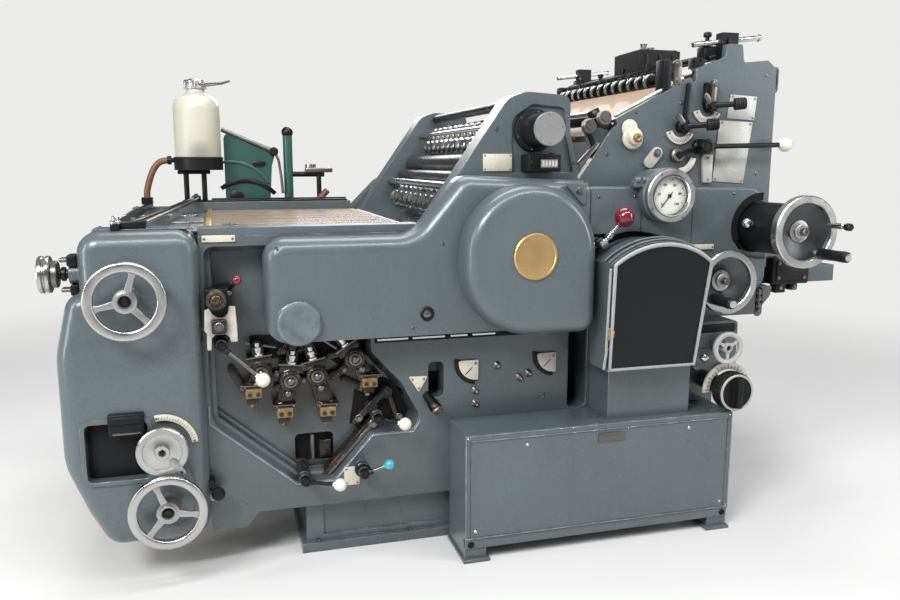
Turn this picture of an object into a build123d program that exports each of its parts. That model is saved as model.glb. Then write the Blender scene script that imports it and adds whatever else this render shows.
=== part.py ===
"""Single-colour sheet-fed offset press.

Operator side at -Y, feeder end at +X, delivery end at -X, floor at Z 0.
Millimetres, machine centre plane at Y 0.
"""
from build123d import *
from math import atan2, cos, degrees, radians, sin, tan
import os

os.makedirs("parts", exist_ok=True)

# Clearances
RUN_GAP = 0.3            # radial gap of a spindle in its bore
END_GAP = 1.0            # gap behind the end of a spindle
FACE_GAP = 5.0           # gap between a turning hub and the face behind it

# Spindles of the wheels, and the thinner pins of the levers
SPINDLE_R = 10.0
BOSS_WALL = 14.0
BOSS_H = 20.0            # how far a spindle boss stands out of its casting
PIN_R = 6.0
PIN_WALL = 8.0

# Side frames, one on each side of the centre plane
FRAME_OUT = 522.0        # centre plane to the outer face
FRAME_T = 80.0
FRAME_LEFT = -622.0
FRAME_PAST = 66.0        # right end, past the lower crank's axis
FRAME_FOOT = 142.0
FRAME_H = 730.0
HEEL_DROP = 39.0         # heel at the delivery end, below the foot line
HEEL_LEN = 90.0
HEEL_RUN = 32.0
RECESS_DEEP = 64.0       # recess for the roller ends in the operator frame
RECESS_SLOPE = 18.0      # how far its walls lean in
WINDOW_ROUND = 14.0
PIVOT_PROUD = 52.0       # lever pivot bosses, out of the frame face

# Base casting
BASE_LEFT = -390.0
BASE_LEN = 1090.0
BASE_INSET = 17.0        # long sides, behind the frame faces
FLANGE_H = 26.0
FLANGE_W = 14.0
BASE_PANEL = 6.0         # depth of the sunk side panels
BASE_MARGIN = 60.0
BASE_BAND = 16.0

# Delivery housings
HOUSING_DEPTH = 70.0     # in front of the frame face
HOUSING_W = 271.0
HOUSING_RISE = 20.0
HOUSING_DROP = 26.0
HOUSING_EDGE = 42.0      # radius of the front edges
HOUSING_ROUND = 52.0     # radius of the corners
UPPER_H = 142.0          # upright part above the belly
BELLY = 61.0
BELLY_STEP = 30.0
POCKET_W = 142.0
POCKET_H = 144.0
POCKET_DEEP = 34.0
POCKET_IN = 54.0         # from the belly
POCKET_UP = 176.0        # from the foot
POCKET_RIM = 10.0
POCKET_LIP = 4.0

# Handwheels, the graduated disc and the end knob on the delivery
UPPER_WHEEL_IN = 109.0   # from the housing's left side
UPPER_WHEEL_DOWN = 154.0
LOWER_WHEEL_IN = 175.0
LOWER_WHEEL_UP = 106.0
DISC_IN = 168.0
DISC_UP = 251.0
WHEEL_R = 92.0
WHEEL_RIM = 24.0
WHEEL_RIM_T = 18.0
WHEEL_HUB = 28.0
WHEEL_REACH = 42.0       # hub back to the front of the rim
SPOKE_W = 16.0
DISC_R = 60.0
DISC_T = 12.0
END_KNOB_IN = 57.0       # behind the housing face
END_KNOB_DOWN = 100.0
END_KNOB_R = 44.0
END_KNOB_T = 28.0
END_KNOB_NECK = 59.0

# Covers on the operator side
COVER_DEPTH = 78.0
COVER_IN = 152.0         # from the left end of the frame
COVER_H = 260.0
COVER_LOW = 4.0          # below the frame top
COVER_RISE = 148.0       # shoulder beside the ink unit
COVER_EDGE = 40.0
COVER_ROUND = 55.0
BOSS_R = 56.0
BOSS_PROUD = 12.0
GEAR_DEPTH = 90.0
GEAR_W = 356.0
GEAR_GAP = 12.0          # right side, back from the end of the cover
GEAR_EDGE = 34.0
GEAR_FOOT_ROUND = 40.0
GEAR_CROWN = 24.0        # top, below the shoulder

# Ink unit
DELIVERY_LEN = 562.0     # left end of the frame to the toe of the ink unit
INK_LEN = 450.0
INK_H = 366.0
INK_SHOULDER_H = 132.0
INK_POCKET = 8.0
CYLINDER_R = 85.0
# Bars and rollers across it: back from its right edge, up from the frame top, then the radius
TIE_BARS = ((154.0, 340.0, 14.0), (208.0, 278.0, 8.0), (330.0, 113.0, 12.0))
FORM_ROLLER = (240.0, 173.0, 30.0)
CYLINDERS = ((240.0, -82.0, CYLINDER_R), (380.0, -192.0, CYLINDER_R), (510.0, -316.0, CYLINDER_R))
UPPER_DISCS = (150.0, 278.0, 10.0, 32.0, 13, 34.0)   # then the disc's radius, their number and width
LOWER_DISCS = (270.0, 73.0, 16.0, 42.0, 12, 40.0)

# Feeder side plates
PLATE_T = 22.0
PLATE_REACH = 158.0      # past the end of the frame
PLATE_DROP = 132.0       # below the frame top
SLOPE_FOOT = (98.0, 273.0)   # lower end of the sloping edge, from the ink unit and the frame top
SLOPE_RUN = 256.0
SLOPE_RISE = 131.0
RAIL_H = 18.0
BOARD_T = 18.0
BOARD_ABOVE = 4.0        # board's face above the sloping edge
BOARD_BELOW = 50.0       # board's lower end, past the foot of the slope
TAB_IN = 14.0            # tabs for the head, back from the end of the frame
TAB_W = 54.0
TAB_H = 42.0
PLATE_STEP = 66.0        # top of the plates above the slope
FEED_WHEEL_R = 26.0
FEED_WHEEL_W = 24.0
FEED_WHEEL_PITCH = 55.0
FEED_WHEELS = 13
FEED_WHEEL_FIRST = -220.0
FEED_SHAFT_R = 9.0
CROSS_ROLLER_R = 14.0    # roller and bar over the lower end of the board
CROSS_BAR_R = 7.0
CROSS_BLOCK_T = 16.0
CROSS_BLOCK_H = 56.0
CROSS_BLOCK_W = 34.0
HEAD_SHAFT_R = 12.0
HEAD_W = 180.0           # suction box across the machine
HEAD_LEN = 150.0
HEAD_H = 90.0
CLAMP_T = 34.0
CLAMP_LEN = 52.0
CLAMP_H = 72.0
CLAMP_ROD_R = 7.0
TABLE_REACH = 252.0      # feeder table past the side plates
FEED_TABLE_T = 50.0

# Casing under the feeder, with its gauge
CASING_DEPTH = 70.0
CASING_RISE = 116.0
CASING_H = 298.0
CASING_REACH = 110.0     # past the end of the frame
CASING_EDGE = 8.0
GAUGE_R = 72.0
GAUGE_PROUD = 48.0
DIAL_R = 52.0
DIAL_DEEP = 10.0
GAUGE_ALONG = 220.0      # from the ink unit
GAUGE_DOWN = 26.0
HOLLOW_DEEP = 30.0       # hollow in its face over the pump's arch
HOLLOW_RING = 14.0
HOLLOW_ASIDE = 12.0
LEVER_BAY_W = 48.0       # bay round the main lever's pivot
LEVER_BAY_H = 66.0
LEVER_BAY_DEEP = 44.0

# Pump housing with the leaning front panel
PUMP_DEPTH = 98.0        # in front of the casing at its foot
PUMP_LEAN = 8.0          # degrees
PUMP_FOOT_W = 268.0
PUMP_SHOULDER_W = 294.0
PUMP_SHOULDER = 296.0
PUMP_CROWN = 354.0
PUMP_BELOW = 190.0       # foot of the panel below the casing
PANEL_T = 8.0
PANEL_EDGE = 6.0
PEDESTAL_W = 254.0
PEDESTAL_PROUD = 118.0
PEDESTAL_H = 150.0
PEDESTAL_ASIDE = 28.0    # off the panel's middle
PUMP_GAP = 3.0           # beside the front cover

# Cabinet on the floor
CAB_DEPTH = 150.0
CAB_LEFT = 20.0
CAB_W = 795.0
CAB_SILL = 60.0
CAB_FOOT_W = 60.0
CAB_PANEL_T = 5.0
CAB_MARGIN = 14.0

# Cranks and the main lever
DRUM_PAST = 85.0         # past the end of the frame
DRUM_UP = 178.0          # above the casing's foot
DRUM_R = 72.0
DRUM_PROUD = 141.0
DRUM_RING = 22.0         # open ring round the drum in the casing
CRANK_LOW_UP = 34.0
CRANK_GAP = 8.0          # beside the pump housing
CRANK_R = 97.0
CRANK_LOW_R = 89.0
CRANK_RIM = 20.0
CRANK_RIM_T = 24.0
MAIN_PIVOT_IN = 18.0     # from the ink unit
MAIN_PIVOT_UP = 42.0     # above the pump's shoulder
MAIN_ARM_X = 60.0
MAIN_ARM_Z = 70.0
MAIN_BALL = 27.0
MAIN_HUB = 58.0          # hub middle, out of the casing face
MAIN_ROD_R = 6.0
STOP_BALL = 10.0         # small ball stop on the drum
STOP_REACH = 20.0
GRIP_R = 15.0
GRIP_PIN_R = 8.0
UPPER_GRIP = (44.0, -58.0)   # grips from the cranks' axes
UPPER_GRIP_LEN = 105.0
LOWER_GRIP = (-52.0, -44.0)
LOWER_GRIP_LEN = 95.0
UPPER_DISH = 26.0        # depth of the dishes
LOWER_DISH = 34.0

# Bracket, control box and regulator below the casing
BRACKET_H = 84.0
BRACKET_T = 40.0
BOX_DEPTH = 108.0
REGULATOR_PROUD = 118.0
REGULATOR_R = 54.0
REGULATOR_GAP = 5.0      # above the cabinet
REGULATOR_T = 50.0
REGULATOR_BAR = 80.0     # grip bar on the knob
REGULATOR_BAR_W = 16.0
REGULATOR_BAR_H = 14.0
SMALL_WHEEL_R = 46.0
SMALL_WHEEL_DOWN = 66.0
SMALL_RIM = 12.0
SMALL_RIM_T = 14.0
SMALL_HUB = 15.0
SMALL_REACH = 36.0
SMALL_SPOKE = 9.0

# Ball levers on the operator frame: pivot from the frame's left end and foot, then the ball from the pivot
LEVERS = {
    "throw_off": ((45.0, 464.0), (94.0, -84.0), 33.0, 18.0),   # ball's distance out of the hub, and its radius
    "form": ((432.0, 246.0), (67.0, -15.0), 21.0, 17.0),
    "damper": ((238.0, 96.0), (87.0, -14.0), 21.0, 17.0),
    "blue": ((392.0, 100.0), (64.0, 24.0), 21.0, 14.0),
}
LEVER_HUB_R = 13.0
LEVER_HUB_W = 18.0
LEVER_ROD_R = 5.0

# Roller sockets in the recess: bearing, block and stem from the frame's left end and foot
SOCKETS = (
    ((214.0, 345.0), (198.0, 262.0), (221.0, 410.0)), ((284.0, 354.0), (310.0, 256.0), (270.0, 416.0)),
    ((385.0, 393.0), (424.0, 327.0), (357.0, 436.0)), ((140.0, 372.0), (120.0, 330.0), (134.0, 424.0)),
)
SOCKET_R = 25.0
SOCKET_HUB = 15.0
SOCKET_PROUD = 56.0      # out of the recess floor
SOCKET_BLOCK_W = 42.0
SOCKET_BLOCK_H = 28.0
STEM_R = 14.0

# Throw-off yoke above the longest lever
YOKE_AT = (41.0, 556.0)  # on the frame
YOKE_H = 95.0
YOKE_PROUD = 40.0
FORK_T = 14.0
YOKE_DRUM_R = 24.0
YOKE_DRUM_LEN = 38.0
YOKE_BLOCK = 36.0

# Delivery table, boards and cross bar
TABLE_T = 18.0
TABLE_RISE = 8.0
BOARD_SHEET = 6.0
REAR_RAIL_W = 48.0
REAR_RAIL_H = 35.0
PILE_UP = 184.0
PILE_T = 28.0
BAR_IN = 87.0
BAR_W = 20.0
BAR_H = 16.0
BLOCK_W = 36.0
BLOCK_D = 46.0
BLOCK_H = 24.0
END_PLATE_LEN = 120.0    # plate that carries the table on towards the delivery end
END_PLATE_T = 12.0
END_ARM_LEN = 160.0
END_ARM_W = 40.0
END_ARM_Y = 400.0        # operator's arm, from the centre plane
END_ARM_BACK = 320.0     # drive side arm
LIFT_PLATE_LEN = 88.0    # raised plate on it
LIFT_PLATE_FROM = -180.0
LIFT_PLATE_TO = 120.0
LINK_BLOCK = 44.0        # blocks of the setting bars
LINK_BLOCK_H = 22.0
LINK_LEN = 58.0
LINK_R = 6.0
FAR_LINK_W = 32.0

# Powder bottle, hose and the spray unit casting
CUP_R = 83.0
CUP_H = 44.0
CUP_FLOOR = 14.0
CUP_WALL = 4.0
CUP_UP = 111.0           # above the rear rail
BOTTLE_H = 296.0
POST_R = 9.0
NIPPLE_R = 8.0
NIPPLE_UP = 34.0
NIPPLE_LEN = 8.0
HOSE_R = 11.0
CASTING_T = 30.0
SPRAY_POST_H = 280.0

# Drive side guard
GUARD_DEPTH = 110.0
GUARD_EDGE = 30.0
GUARD_BELOW = 188.0      # below the front cover's foot

# Ink unit knob, counter box and feeder controls
KNOB_R = 44.0
KNOB_FLANGE = 57.0
KNOB_REACH = 118.0
COUNTER_W = 96.0
COUNTER_H = 48.0
COUNTER_PROUD = 58.0
QUADRANT_R = 46.0
QUADRANT_T = 5.0
SETTING_PIVOT_R = 20.0
SETTING_KNOB_R = 17.0
SETTING_ROD_R = 8.0
FEED_SEAT = 18.0
FEED_ARM = 262.0
FEED_ARM_R = 7.0
FEED_BALL = 20.0
FEED_HUB = 20.0
FEED_HUB_W = 30.0

# Stations across, along and up the machine
FRAME_IN = FRAME_OUT - FRAME_T
BASE_HALF = FRAME_OUT - BASE_INSET
HOUSING_OUT = FRAME_OUT + HOUSING_DEPTH
PLATE_IN = FRAME_OUT - PLATE_T
CASING_OUT = FRAME_OUT + CASING_DEPTH
CAB_OUT = FRAME_OUT + CAB_DEPTH
INK_RIGHT = FRAME_LEFT + DELIVERY_LEN + INK_LEN
PUMP_X = INK_RIGHT + PUMP_GAP + PUMP_SHOULDER_W / 2
CRANK_X = PUMP_X + PUMP_SHOULDER_W / 2 + CRANK_GAP + CRANK_LOW_R
FRAME_RIGHT = CRANK_X + FRAME_PAST
PLATE_RIGHT = FRAME_RIGHT + PLATE_REACH
HOUSING_LEFT = FRAME_LEFT - HOUSING_W
FRAME_TOP = FRAME_FOOT + FRAME_H
HOUSING_TOP = FRAME_TOP + HOUSING_RISE
HOUSING_FOOT = FRAME_FOOT - HOUSING_DROP
INK_TOP = FRAME_TOP + INK_H
INK_SHOULDER = FRAME_TOP + INK_SHOULDER_H
PLATE_FOOT = FRAME_TOP - PLATE_DROP
CASING_TOP = FRAME_TOP + CASING_RISE
CASING_FOOT = CASING_TOP - CASING_H
PUMP_FOOT = CASING_FOOT - PUMP_BELOW
CAB_TOP = PUMP_FOOT - PEDESTAL_H

# Axes of the turning pieces in X and Z
UPPER_WHEEL = (HOUSING_LEFT + UPPER_WHEEL_IN, HOUSING_TOP - UPPER_WHEEL_DOWN)
LOWER_WHEEL = (HOUSING_LEFT + LOWER_WHEEL_IN, HOUSING_FOOT + LOWER_WHEEL_UP)
DIAL_DISC = (HOUSING_LEFT + DISC_IN, HOUSING_FOOT + DISC_UP)
GAUGE = (INK_RIGHT + GAUGE_ALONG, CASING_TOP - GAUGE_DOWN)
DRUM = (FRAME_RIGHT + DRUM_PAST, CASING_FOOT + DRUM_UP)
CRANK_LOW = (CRANK_X, CASING_FOOT + CRANK_LOW_UP)
MAIN_PIVOT = (INK_RIGHT + MAIN_PIVOT_IN, PUMP_FOOT + PUMP_SHOULDER + MAIN_PIVOT_UP)


def box(x0, x1, y0, y1, z0, z1):
    """Block between two corners."""
    centre = Pos((x0 + x1) / 2, (y0 + y1) / 2, (z0 + z1) / 2)
    return centre * Box(x1 - x0, y1 - y0, z1 - z0)


def slab(points, front, back, radius=0.0, taper=0.0):
    """Plate with its outline in X and Z, lying between two Y planes."""
    face = Plane.XZ * make_face(FilletPolyline(*points, radius=radius, close=True))
    return extrude(Pos(0, front, 0) * face, amount=back - front, dir=(0, 1, 0), taper=taper)


def drum(x, z, r, front, back):
    """Round bar along Y."""
    return Pos(x, (front + back) / 2, z) * Rot(90, 0, 0) * Cylinder(r, back - front)


def rod(start, end, r):
    """Round bar between two points."""
    run = Vector(*end) - Vector(*start)
    return Plane(origin=start, z_dir=run) * Cylinder(
        r, run.length, align=(Align.CENTER, Align.CENTER, Align.MIN)
    )


def ball(x, y, z, r):
    """Ball knob."""
    return Pos(x, y, z) * Sphere(r)


def turned(profile, x, z, y, radius=0.0):
    """Solid of revolution about a Y axis; profile points are (radius, distance towards the operator)."""
    face = make_face(FilletPolyline(*profile, radius=radius, close=True))
    return Pos(x, y, z) * Rot(0, 0, 180) * revolve(face, Axis.Y)


def rounded_front(shape, front, radius):
    """Round the edges that lie in the front plane."""
    edges = [e for e in shape.edges() if abs(e.bounding_box().min.Y - front) < 0.01
             and abs(e.bounding_box().max.Y - front) < 0.01]
    return fillet(edges, radius)


def drive_side(shape):
    """The same piece on the other side of the centre plane."""
    return mirror(shape, about=Plane.XZ)


def save(name, *shapes):
    """Write one piece, or several that share a name."""
    solids = [s for shape in shapes for s in shape.solids()]
    export_step(solids[0] if len(solids) == 1 else Compound(children=solids), f"parts/{name}.step")


def with_boss(casting, x, z, face, wall=BOSS_WALL):
    """Casting with a round boss on its face and the blind hole that takes a spindle."""
    boss = drum(x, z, SPINDLE_R + wall, -face - BOSS_H, -face)
    hole = drum(x, z, SPINDLE_R + RUN_GAP, -face - BOSS_H, -face + END_GAP)
    return casting + boss - hole


# Base casting with a foot flange all round and a sunk panel on each long side
base_right = BASE_LEFT + BASE_LEN
base_face = BASE_HALF - FLANGE_W
base = box(BASE_LEFT, base_right, -BASE_HALF, BASE_HALF, 0, FLANGE_H)
base += box(BASE_LEFT + FLANGE_W, base_right - FLANGE_W, -base_face, base_face, FLANGE_H, FRAME_FOOT)
sunk_panel = box(BASE_LEFT + BASE_MARGIN, base_right - BASE_MARGIN, -base_face, -base_face + BASE_PANEL,
                 FLANGE_H + BASE_BAND, FRAME_FOOT - BASE_BAND)
base = base - sunk_panel - drive_side(sunk_panel)
save("base", base)

# Side frames; the operator side has the tapering recess, windows and the lever pivots
frame_outline = [
    (FRAME_LEFT, FRAME_FOOT - HEEL_DROP), (FRAME_LEFT + HEEL_LEN, FRAME_FOOT - HEEL_DROP),
    (FRAME_LEFT + HEEL_LEN + HEEL_RUN, FRAME_FOOT), (FRAME_RIGHT, FRAME_FOOT),
    (FRAME_RIGHT, FRAME_TOP), (FRAME_LEFT, FRAME_TOP),
]
plain_frame = slab(frame_outline, -FRAME_OUT, -FRAME_IN)


def on_frame(along, up):
    """Point measured from the left end and the foot of the frame."""
    return (FRAME_LEFT + along, FRAME_FOOT + up)


recess_mouth = [
    on_frame(10, 704), on_frame(10, 252), on_frame(223, 69), on_frame(320, 69), on_frame(425, 186),
    on_frame(542, 186), on_frame(556, 230), on_frame(509, 320), on_frame(426, 414), on_frame(426, 704),
]
recess_round = [24, 70, 44, 36, 24, 30, 24, 40, 30, 24]
recess_taper = degrees(atan2(RECESS_SLOPE, RECESS_DEEP))
operator_frame = plain_frame - slab(
    recess_mouth, -FRAME_OUT, -FRAME_OUT + RECESS_DEEP, recess_round, recess_taper
)
# Openings through the frame: below the roller ends, by the form lever, the slot and the gap by the pump
windows = [(224, 328, 104, 182), (452, 520, 206, 300), (582, 626, 274, 374), (994, 1052, 212, 454)]
for left, right, low, high in windows:
    corners = [on_frame(left, low), on_frame(right, low), on_frame(right, high), on_frame(left, high)]
    operator_frame -= slab(corners, -FRAME_OUT, -FRAME_IN, WINDOW_ROUND)
lever_seat = FRAME_OUT + PIVOT_PROUD
for pivot, *rest in LEVERS.values():
    x, z = on_frame(*pivot)
    operator_frame += drum(x, z, PIN_R + PIN_WALL, -lever_seat, -FRAME_IN)
    operator_frame -= drum(x, z, PIN_R + RUN_GAP, -lever_seat, -lever_seat + BOSS_H + END_GAP)
save("operator_frame", operator_frame)
save("drive_frame", drive_side(plain_frame))

# Delivery housings, with the pocket and the bosses on the operator side
belly = HOUSING_LEFT - BELLY
housing_outline = [
    (HOUSING_LEFT, HOUSING_TOP), (HOUSING_LEFT, HOUSING_TOP - UPPER_H),
    (HOUSING_LEFT - BELLY_STEP, HOUSING_TOP - UPPER_H - 16), (belly, HOUSING_TOP - UPPER_H - 150),
    (belly, HOUSING_FOOT + 214), (HOUSING_LEFT - 13, HOUSING_FOOT + 89), (HOUSING_LEFT + 33, HOUSING_FOOT),
    (FRAME_LEFT, HOUSING_FOOT), (FRAME_LEFT, HOUSING_TOP),
]
housing_round = [HOUSING_ROUND, 6, 50, 220, 180, 60, HOUSING_ROUND, HOUSING_ROUND, HOUSING_ROUND]
housing = slab(housing_outline, -HOUSING_OUT, -FRAME_IN, housing_round)
housing = rounded_front(housing, -HOUSING_OUT, HOUSING_EDGE)
save("delivery_housing_drive", drive_side(housing))
pocket_left = belly + POCKET_IN
pocket_low = HOUSING_FOOT + POCKET_UP


def pocket_block(margin, front, back):
    """Rounded block over the pocket, with a margin all round."""
    x0, x1 = pocket_left - margin, pocket_left + POCKET_W + margin
    z0, z1 = pocket_low - margin, pocket_low + POCKET_H + margin
    return slab([(x0, z0), (x1, z0), (x1, z1), (x0, z1)], front, back, WINDOW_ROUND + margin)


housing += pocket_block(POCKET_RIM, -HOUSING_OUT - POCKET_LIP, -HOUSING_OUT + POCKET_LIP)
housing -= pocket_block(0, -HOUSING_OUT - POCKET_LIP, -HOUSING_OUT + POCKET_DEEP)
for x, z in (UPPER_WHEEL, LOWER_WHEEL, DIAL_DISC):
    housing = with_boss(housing, x, z, HOUSING_OUT)
end_axis = Plane(
    origin=(HOUSING_LEFT, -HOUSING_OUT + END_KNOB_IN, HOUSING_TOP - END_KNOB_DOWN), z_dir=(-1, 0, 0)
)
on_end = (Align.CENTER, Align.CENTER, Align.MIN)
housing += end_axis * Pos(0, 0, -BOSS_H) * Cylinder(SPINDLE_R + BOSS_WALL, 2 * BOSS_H, align=on_end)
housing -= end_axis * Cylinder(SPINDLE_R + RUN_GAP, BOSS_H, align=on_end)
save("delivery_housing_operator", housing)

# End knob on the delivery end, turning about X
end_knob = end_axis * Pos(0, 0, END_GAP) * Cylinder(SPINDLE_R, END_KNOB_NECK - END_GAP, align=on_end)
end_knob += end_axis * Pos(0, 0, END_KNOB_NECK) * Cylinder(END_KNOB_R, END_KNOB_T, align=on_end)
end_knob += end_axis * Pos(0, 0, END_KNOB_NECK - END_KNOB_T / 2) * Cylinder(
    END_KNOB_R * 0.72, END_KNOB_T / 2, align=on_end
)
save("end_knob", end_knob)


def handwheel(x, z, seat, outer, rim, rim_t, hub_r, reach, spoke_w, start):
    """Three-spoked handwheel: flat rounded rim, stepped hub, flat spokes and the spindle in its boss."""
    hub_back = seat + BOSS_H + FACE_GAP
    rim_back = reach - rim_t
    inner = outer - rim
    ring = [(inner, rim_back), (outer, rim_back), (outer, reach), (inner, reach)]
    wheel = turned(ring, x, z, -hub_back, rim_t * 0.3)
    hub = [(0, 0), (hub_r, 0), (hub_r, reach * 0.6), (hub_r * 0.7, reach * 0.6), (hub_r * 0.7, reach * 0.8),
           (hub_r * 0.4, reach * 0.8), (hub_r * 0.4, reach), (0, reach)]
    wheel += turned(hub, x, z, -hub_back)
    length = outer - rim / 2
    for i in range(3):
        turn = Pos(x, -hub_back - rim_back - rim_t * 0.2, z) * Rot(0, -start - 120 * i, 0)
        wheel += turn * Pos(length / 2, 0, 0) * Box(length, rim_t * 0.55, spoke_w)
    return wheel + drum(x, z, SPINDLE_R, -hub_back, -seat)


save("delivery_handwheel", handwheel(
    *UPPER_WHEEL, HOUSING_OUT, WHEEL_R, WHEEL_RIM, WHEEL_RIM_T, WHEEL_HUB, WHEEL_REACH, SPOKE_W, 73))
save("pile_handwheel", handwheel(
    *LOWER_WHEEL, HOUSING_OUT, WHEEL_R, WHEEL_RIM, WHEEL_RIM_T, WHEEL_HUB, WHEEL_REACH, SPOKE_W, 110))

# Graduated disc above the lower handwheel
disc_back = HOUSING_OUT + BOSS_H + FACE_GAP
disc_profile = [
    (0, 0), (DISC_R, 0), (DISC_R, DISC_T * 0.7), (DISC_R - 8, DISC_T), (DISC_R - 16, DISC_T),
    (DISC_R - 18, DISC_T * 0.7), (24, DISC_T * 0.7), (22, DISC_T),
    (14, DISC_T), (14, DISC_T * 2), (0, DISC_T * 2),
]
delivery_dial = turned(disc_profile, *DIAL_DISC, -disc_back)
save("delivery_dial", delivery_dial + drum(*DIAL_DISC, SPINDLE_R, -disc_back, -HOUSING_OUT))

# Cover over the roller drive: rounded top and end, crisp lower edge, a round boss at its corner
cover_out = FRAME_OUT + COVER_DEPTH
cover_left = FRAME_LEFT + COVER_IN
cover_top = FRAME_TOP - COVER_LOW
cover_foot = cover_top - COVER_H
shoulder = FRAME_TOP + COVER_RISE
cover_upper = [
    (cover_left, cover_top), (INK_RIGHT - INK_LEN - 32, cover_top), (INK_RIGHT - 354, shoulder),
    (INK_RIGHT + 2 * COVER_EDGE, shoulder - 20),
]
cover_long = slab(cover_upper + [(INK_RIGHT + 2 * COVER_EDGE, cover_foot - 2 * COVER_EDGE),
                                 (cover_left, cover_foot - 2 * COVER_EDGE)],
                  -cover_out, -FRAME_OUT, [COVER_ROUND, 90, COVER_ROUND, 0, 0, 0])
cover_long = rounded_front(cover_long, -cover_out, COVER_EDGE)
cover_corners = [(cover_left, shoulder), (INK_RIGHT, shoulder), (INK_RIGHT, cover_foot),
                 (cover_left, cover_foot)]
cover_trim = slab(cover_corners, -cover_out, -FRAME_OUT, [0, 0, 0, COVER_ROUND])
front_cover = cover_long & cover_trim
boss_face = COVER_DEPTH + BOSS_PROUD
boss_profile = [(0, 0), (BOSS_R, 0), (BOSS_R, COVER_DEPTH + BOSS_PROUD * 0.4), (BOSS_R * 0.8, boss_face),
                (0, boss_face)]
front_cover += turned(boss_profile, cover_left + 79, cover_foot + 48, -FRAME_OUT)
save("front_cover", front_cover)

# Domed gear cover in front of it
gear_out = cover_out + GEAR_DEPTH
gear_right = INK_RIGHT - GEAR_GAP
gear_left = gear_right - GEAR_W
gear_top = shoulder - GEAR_CROWN
crown_round = GEAR_W / 2 - 1
gear_outline = [(gear_left, cover_foot), (gear_left, gear_top), (gear_right, gear_top),
                (gear_right, cover_foot)]
gear_round = [crown_round, crown_round, crown_round, GEAR_FOOT_ROUND]
gear_cover = slab(gear_outline, -gear_out, -cover_out, gear_round)
save("gear_cover", rounded_front(gear_cover, -gear_out, GEAR_EDGE))

# Ink unit side plates; the operator side has the shallow pocket for the knob
ink_outline = [
    (INK_RIGHT - INK_LEN, FRAME_TOP), (INK_RIGHT - 206, INK_TOP - 16), (INK_RIGHT - 155, INK_TOP),
    (INK_RIGHT - 28, INK_TOP - 8), (INK_RIGHT - 28, INK_SHOULDER + 136), (INK_RIGHT, INK_SHOULDER),
    (INK_RIGHT, FRAME_TOP),
]
ink_frame = slab(ink_outline, -FRAME_OUT, -FRAME_IN, [0, 60, 60, 26, 80, 20, 0])
save("ink_frame_drive", drive_side(ink_frame))
ink_pocket = [
    (INK_RIGHT - 196, INK_SHOULDER + 20), (INK_RIGHT - 196, INK_TOP - 70), (INK_RIGHT - 140, INK_TOP - 32),
    (INK_RIGHT - 42, INK_TOP - 40), (INK_RIGHT - 42, INK_SHOULDER + 130), (INK_RIGHT - 16, INK_SHOULDER + 20),
]
ink_frame -= slab(ink_pocket, -FRAME_OUT, -FRAME_OUT + INK_POCKET, [6, 40, 30, 20, 30, 6])
save("ink_frame_operator", ink_frame)


# Cross ties, ink rollers and cylinders between the side plates
def across(x, z, r):
    """Round bar from side plate to side plate, placed from the ink unit's right edge and the frame top."""
    return drum(INK_RIGHT - x, FRAME_TOP + z, r, -FRAME_IN, FRAME_IN)


def disc_roller(x, z, shaft_r, disc_r, count, disc_w):
    """Shaft between the side plates with a row of narrow discs."""
    shaft = across(x, z, shaft_r)
    pitch = 2 * FRAME_IN / count
    for i in range(count):
        middle = -FRAME_IN + pitch * (i + 0.5)
        shaft += drum(INK_RIGHT - x, FRAME_TOP + z, disc_r, middle - disc_w / 2, middle + disc_w / 2)
    return shaft


save("ink_ties", *[across(*tie) for tie in TIE_BARS])
save("ink_rollers", disc_roller(*UPPER_DISCS), across(*FORM_ROLLER), disc_roller(*LOWER_DISCS))
save("cylinders", *[across(*cylinder) for cylinder in CYLINDERS])

# Feeder side plates with the rail along the sloping edge
slope_low = Vector(INK_RIGHT + SLOPE_FOOT[0], FRAME_TOP + SLOPE_FOOT[1])
slope = Vector(SLOPE_RUN, SLOPE_RISE).normalized()
slope_length = Vector(SLOPE_RUN, SLOPE_RISE).length
lift = Vector(-slope.Y, slope.X)


def on_slope(along, above):
    """Point along the sloping edge and square above it, in X and Z."""
    p = slope_low + slope * along + lift * above
    return (p.X, p.Y)


plate_top = slope_low.Y + SLOPE_RISE + PLATE_STEP
tab_left = FRAME_RIGHT - TAB_IN
tab_top = plate_top + TAB_H
feeder_outline = [
    (INK_RIGHT, FRAME_TOP), (INK_RIGHT, INK_SHOULDER), on_slope(0, 0), on_slope(slope_length, 0),
    (slope_low.X + SLOPE_RUN, plate_top - 30), (tab_left, plate_top + 4), (tab_left + 4, tab_top),
    (tab_left + TAB_W, tab_top), (tab_left + TAB_W + 7, plate_top - 8), (PLATE_RIGHT - 30, plate_top),
    (PLATE_RIGHT, plate_top - 24), (PLATE_RIGHT, PLATE_FOOT), (FRAME_RIGHT, PLATE_FOOT),
    (FRAME_RIGHT, FRAME_TOP),
]
feeder_round = [0, 14, 60, 8, 10, 8, 8, 8, 8, 12, 10, 20, 0, 0]
feeder_frame = slab(feeder_outline, -FRAME_OUT, -PLATE_IN, feeder_round)
rail_end = slope_length - 10
side_rail = [on_slope(20, -4), on_slope(rail_end, -4), on_slope(rail_end, RAIL_H), on_slope(20, RAIL_H)]
feeder_frame += slab(side_rail, -FRAME_OUT, -PLATE_IN)
save("feeder_frame_operator", feeder_frame)
save("feeder_frame_drive", drive_side(feeder_frame))
board_low = BOARD_ABOVE - BOARD_T
board_outline = [on_slope(-BOARD_BELOW, board_low), on_slope(slope_length, board_low),
                 on_slope(slope_length, BOARD_ABOVE), on_slope(-BOARD_BELOW, BOARD_ABOVE)]
save("feed_board", slab(board_outline, -PLATE_IN, PLATE_IN))
wheel_x, wheel_z = on_slope(slope_length + 36, 12)
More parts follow.
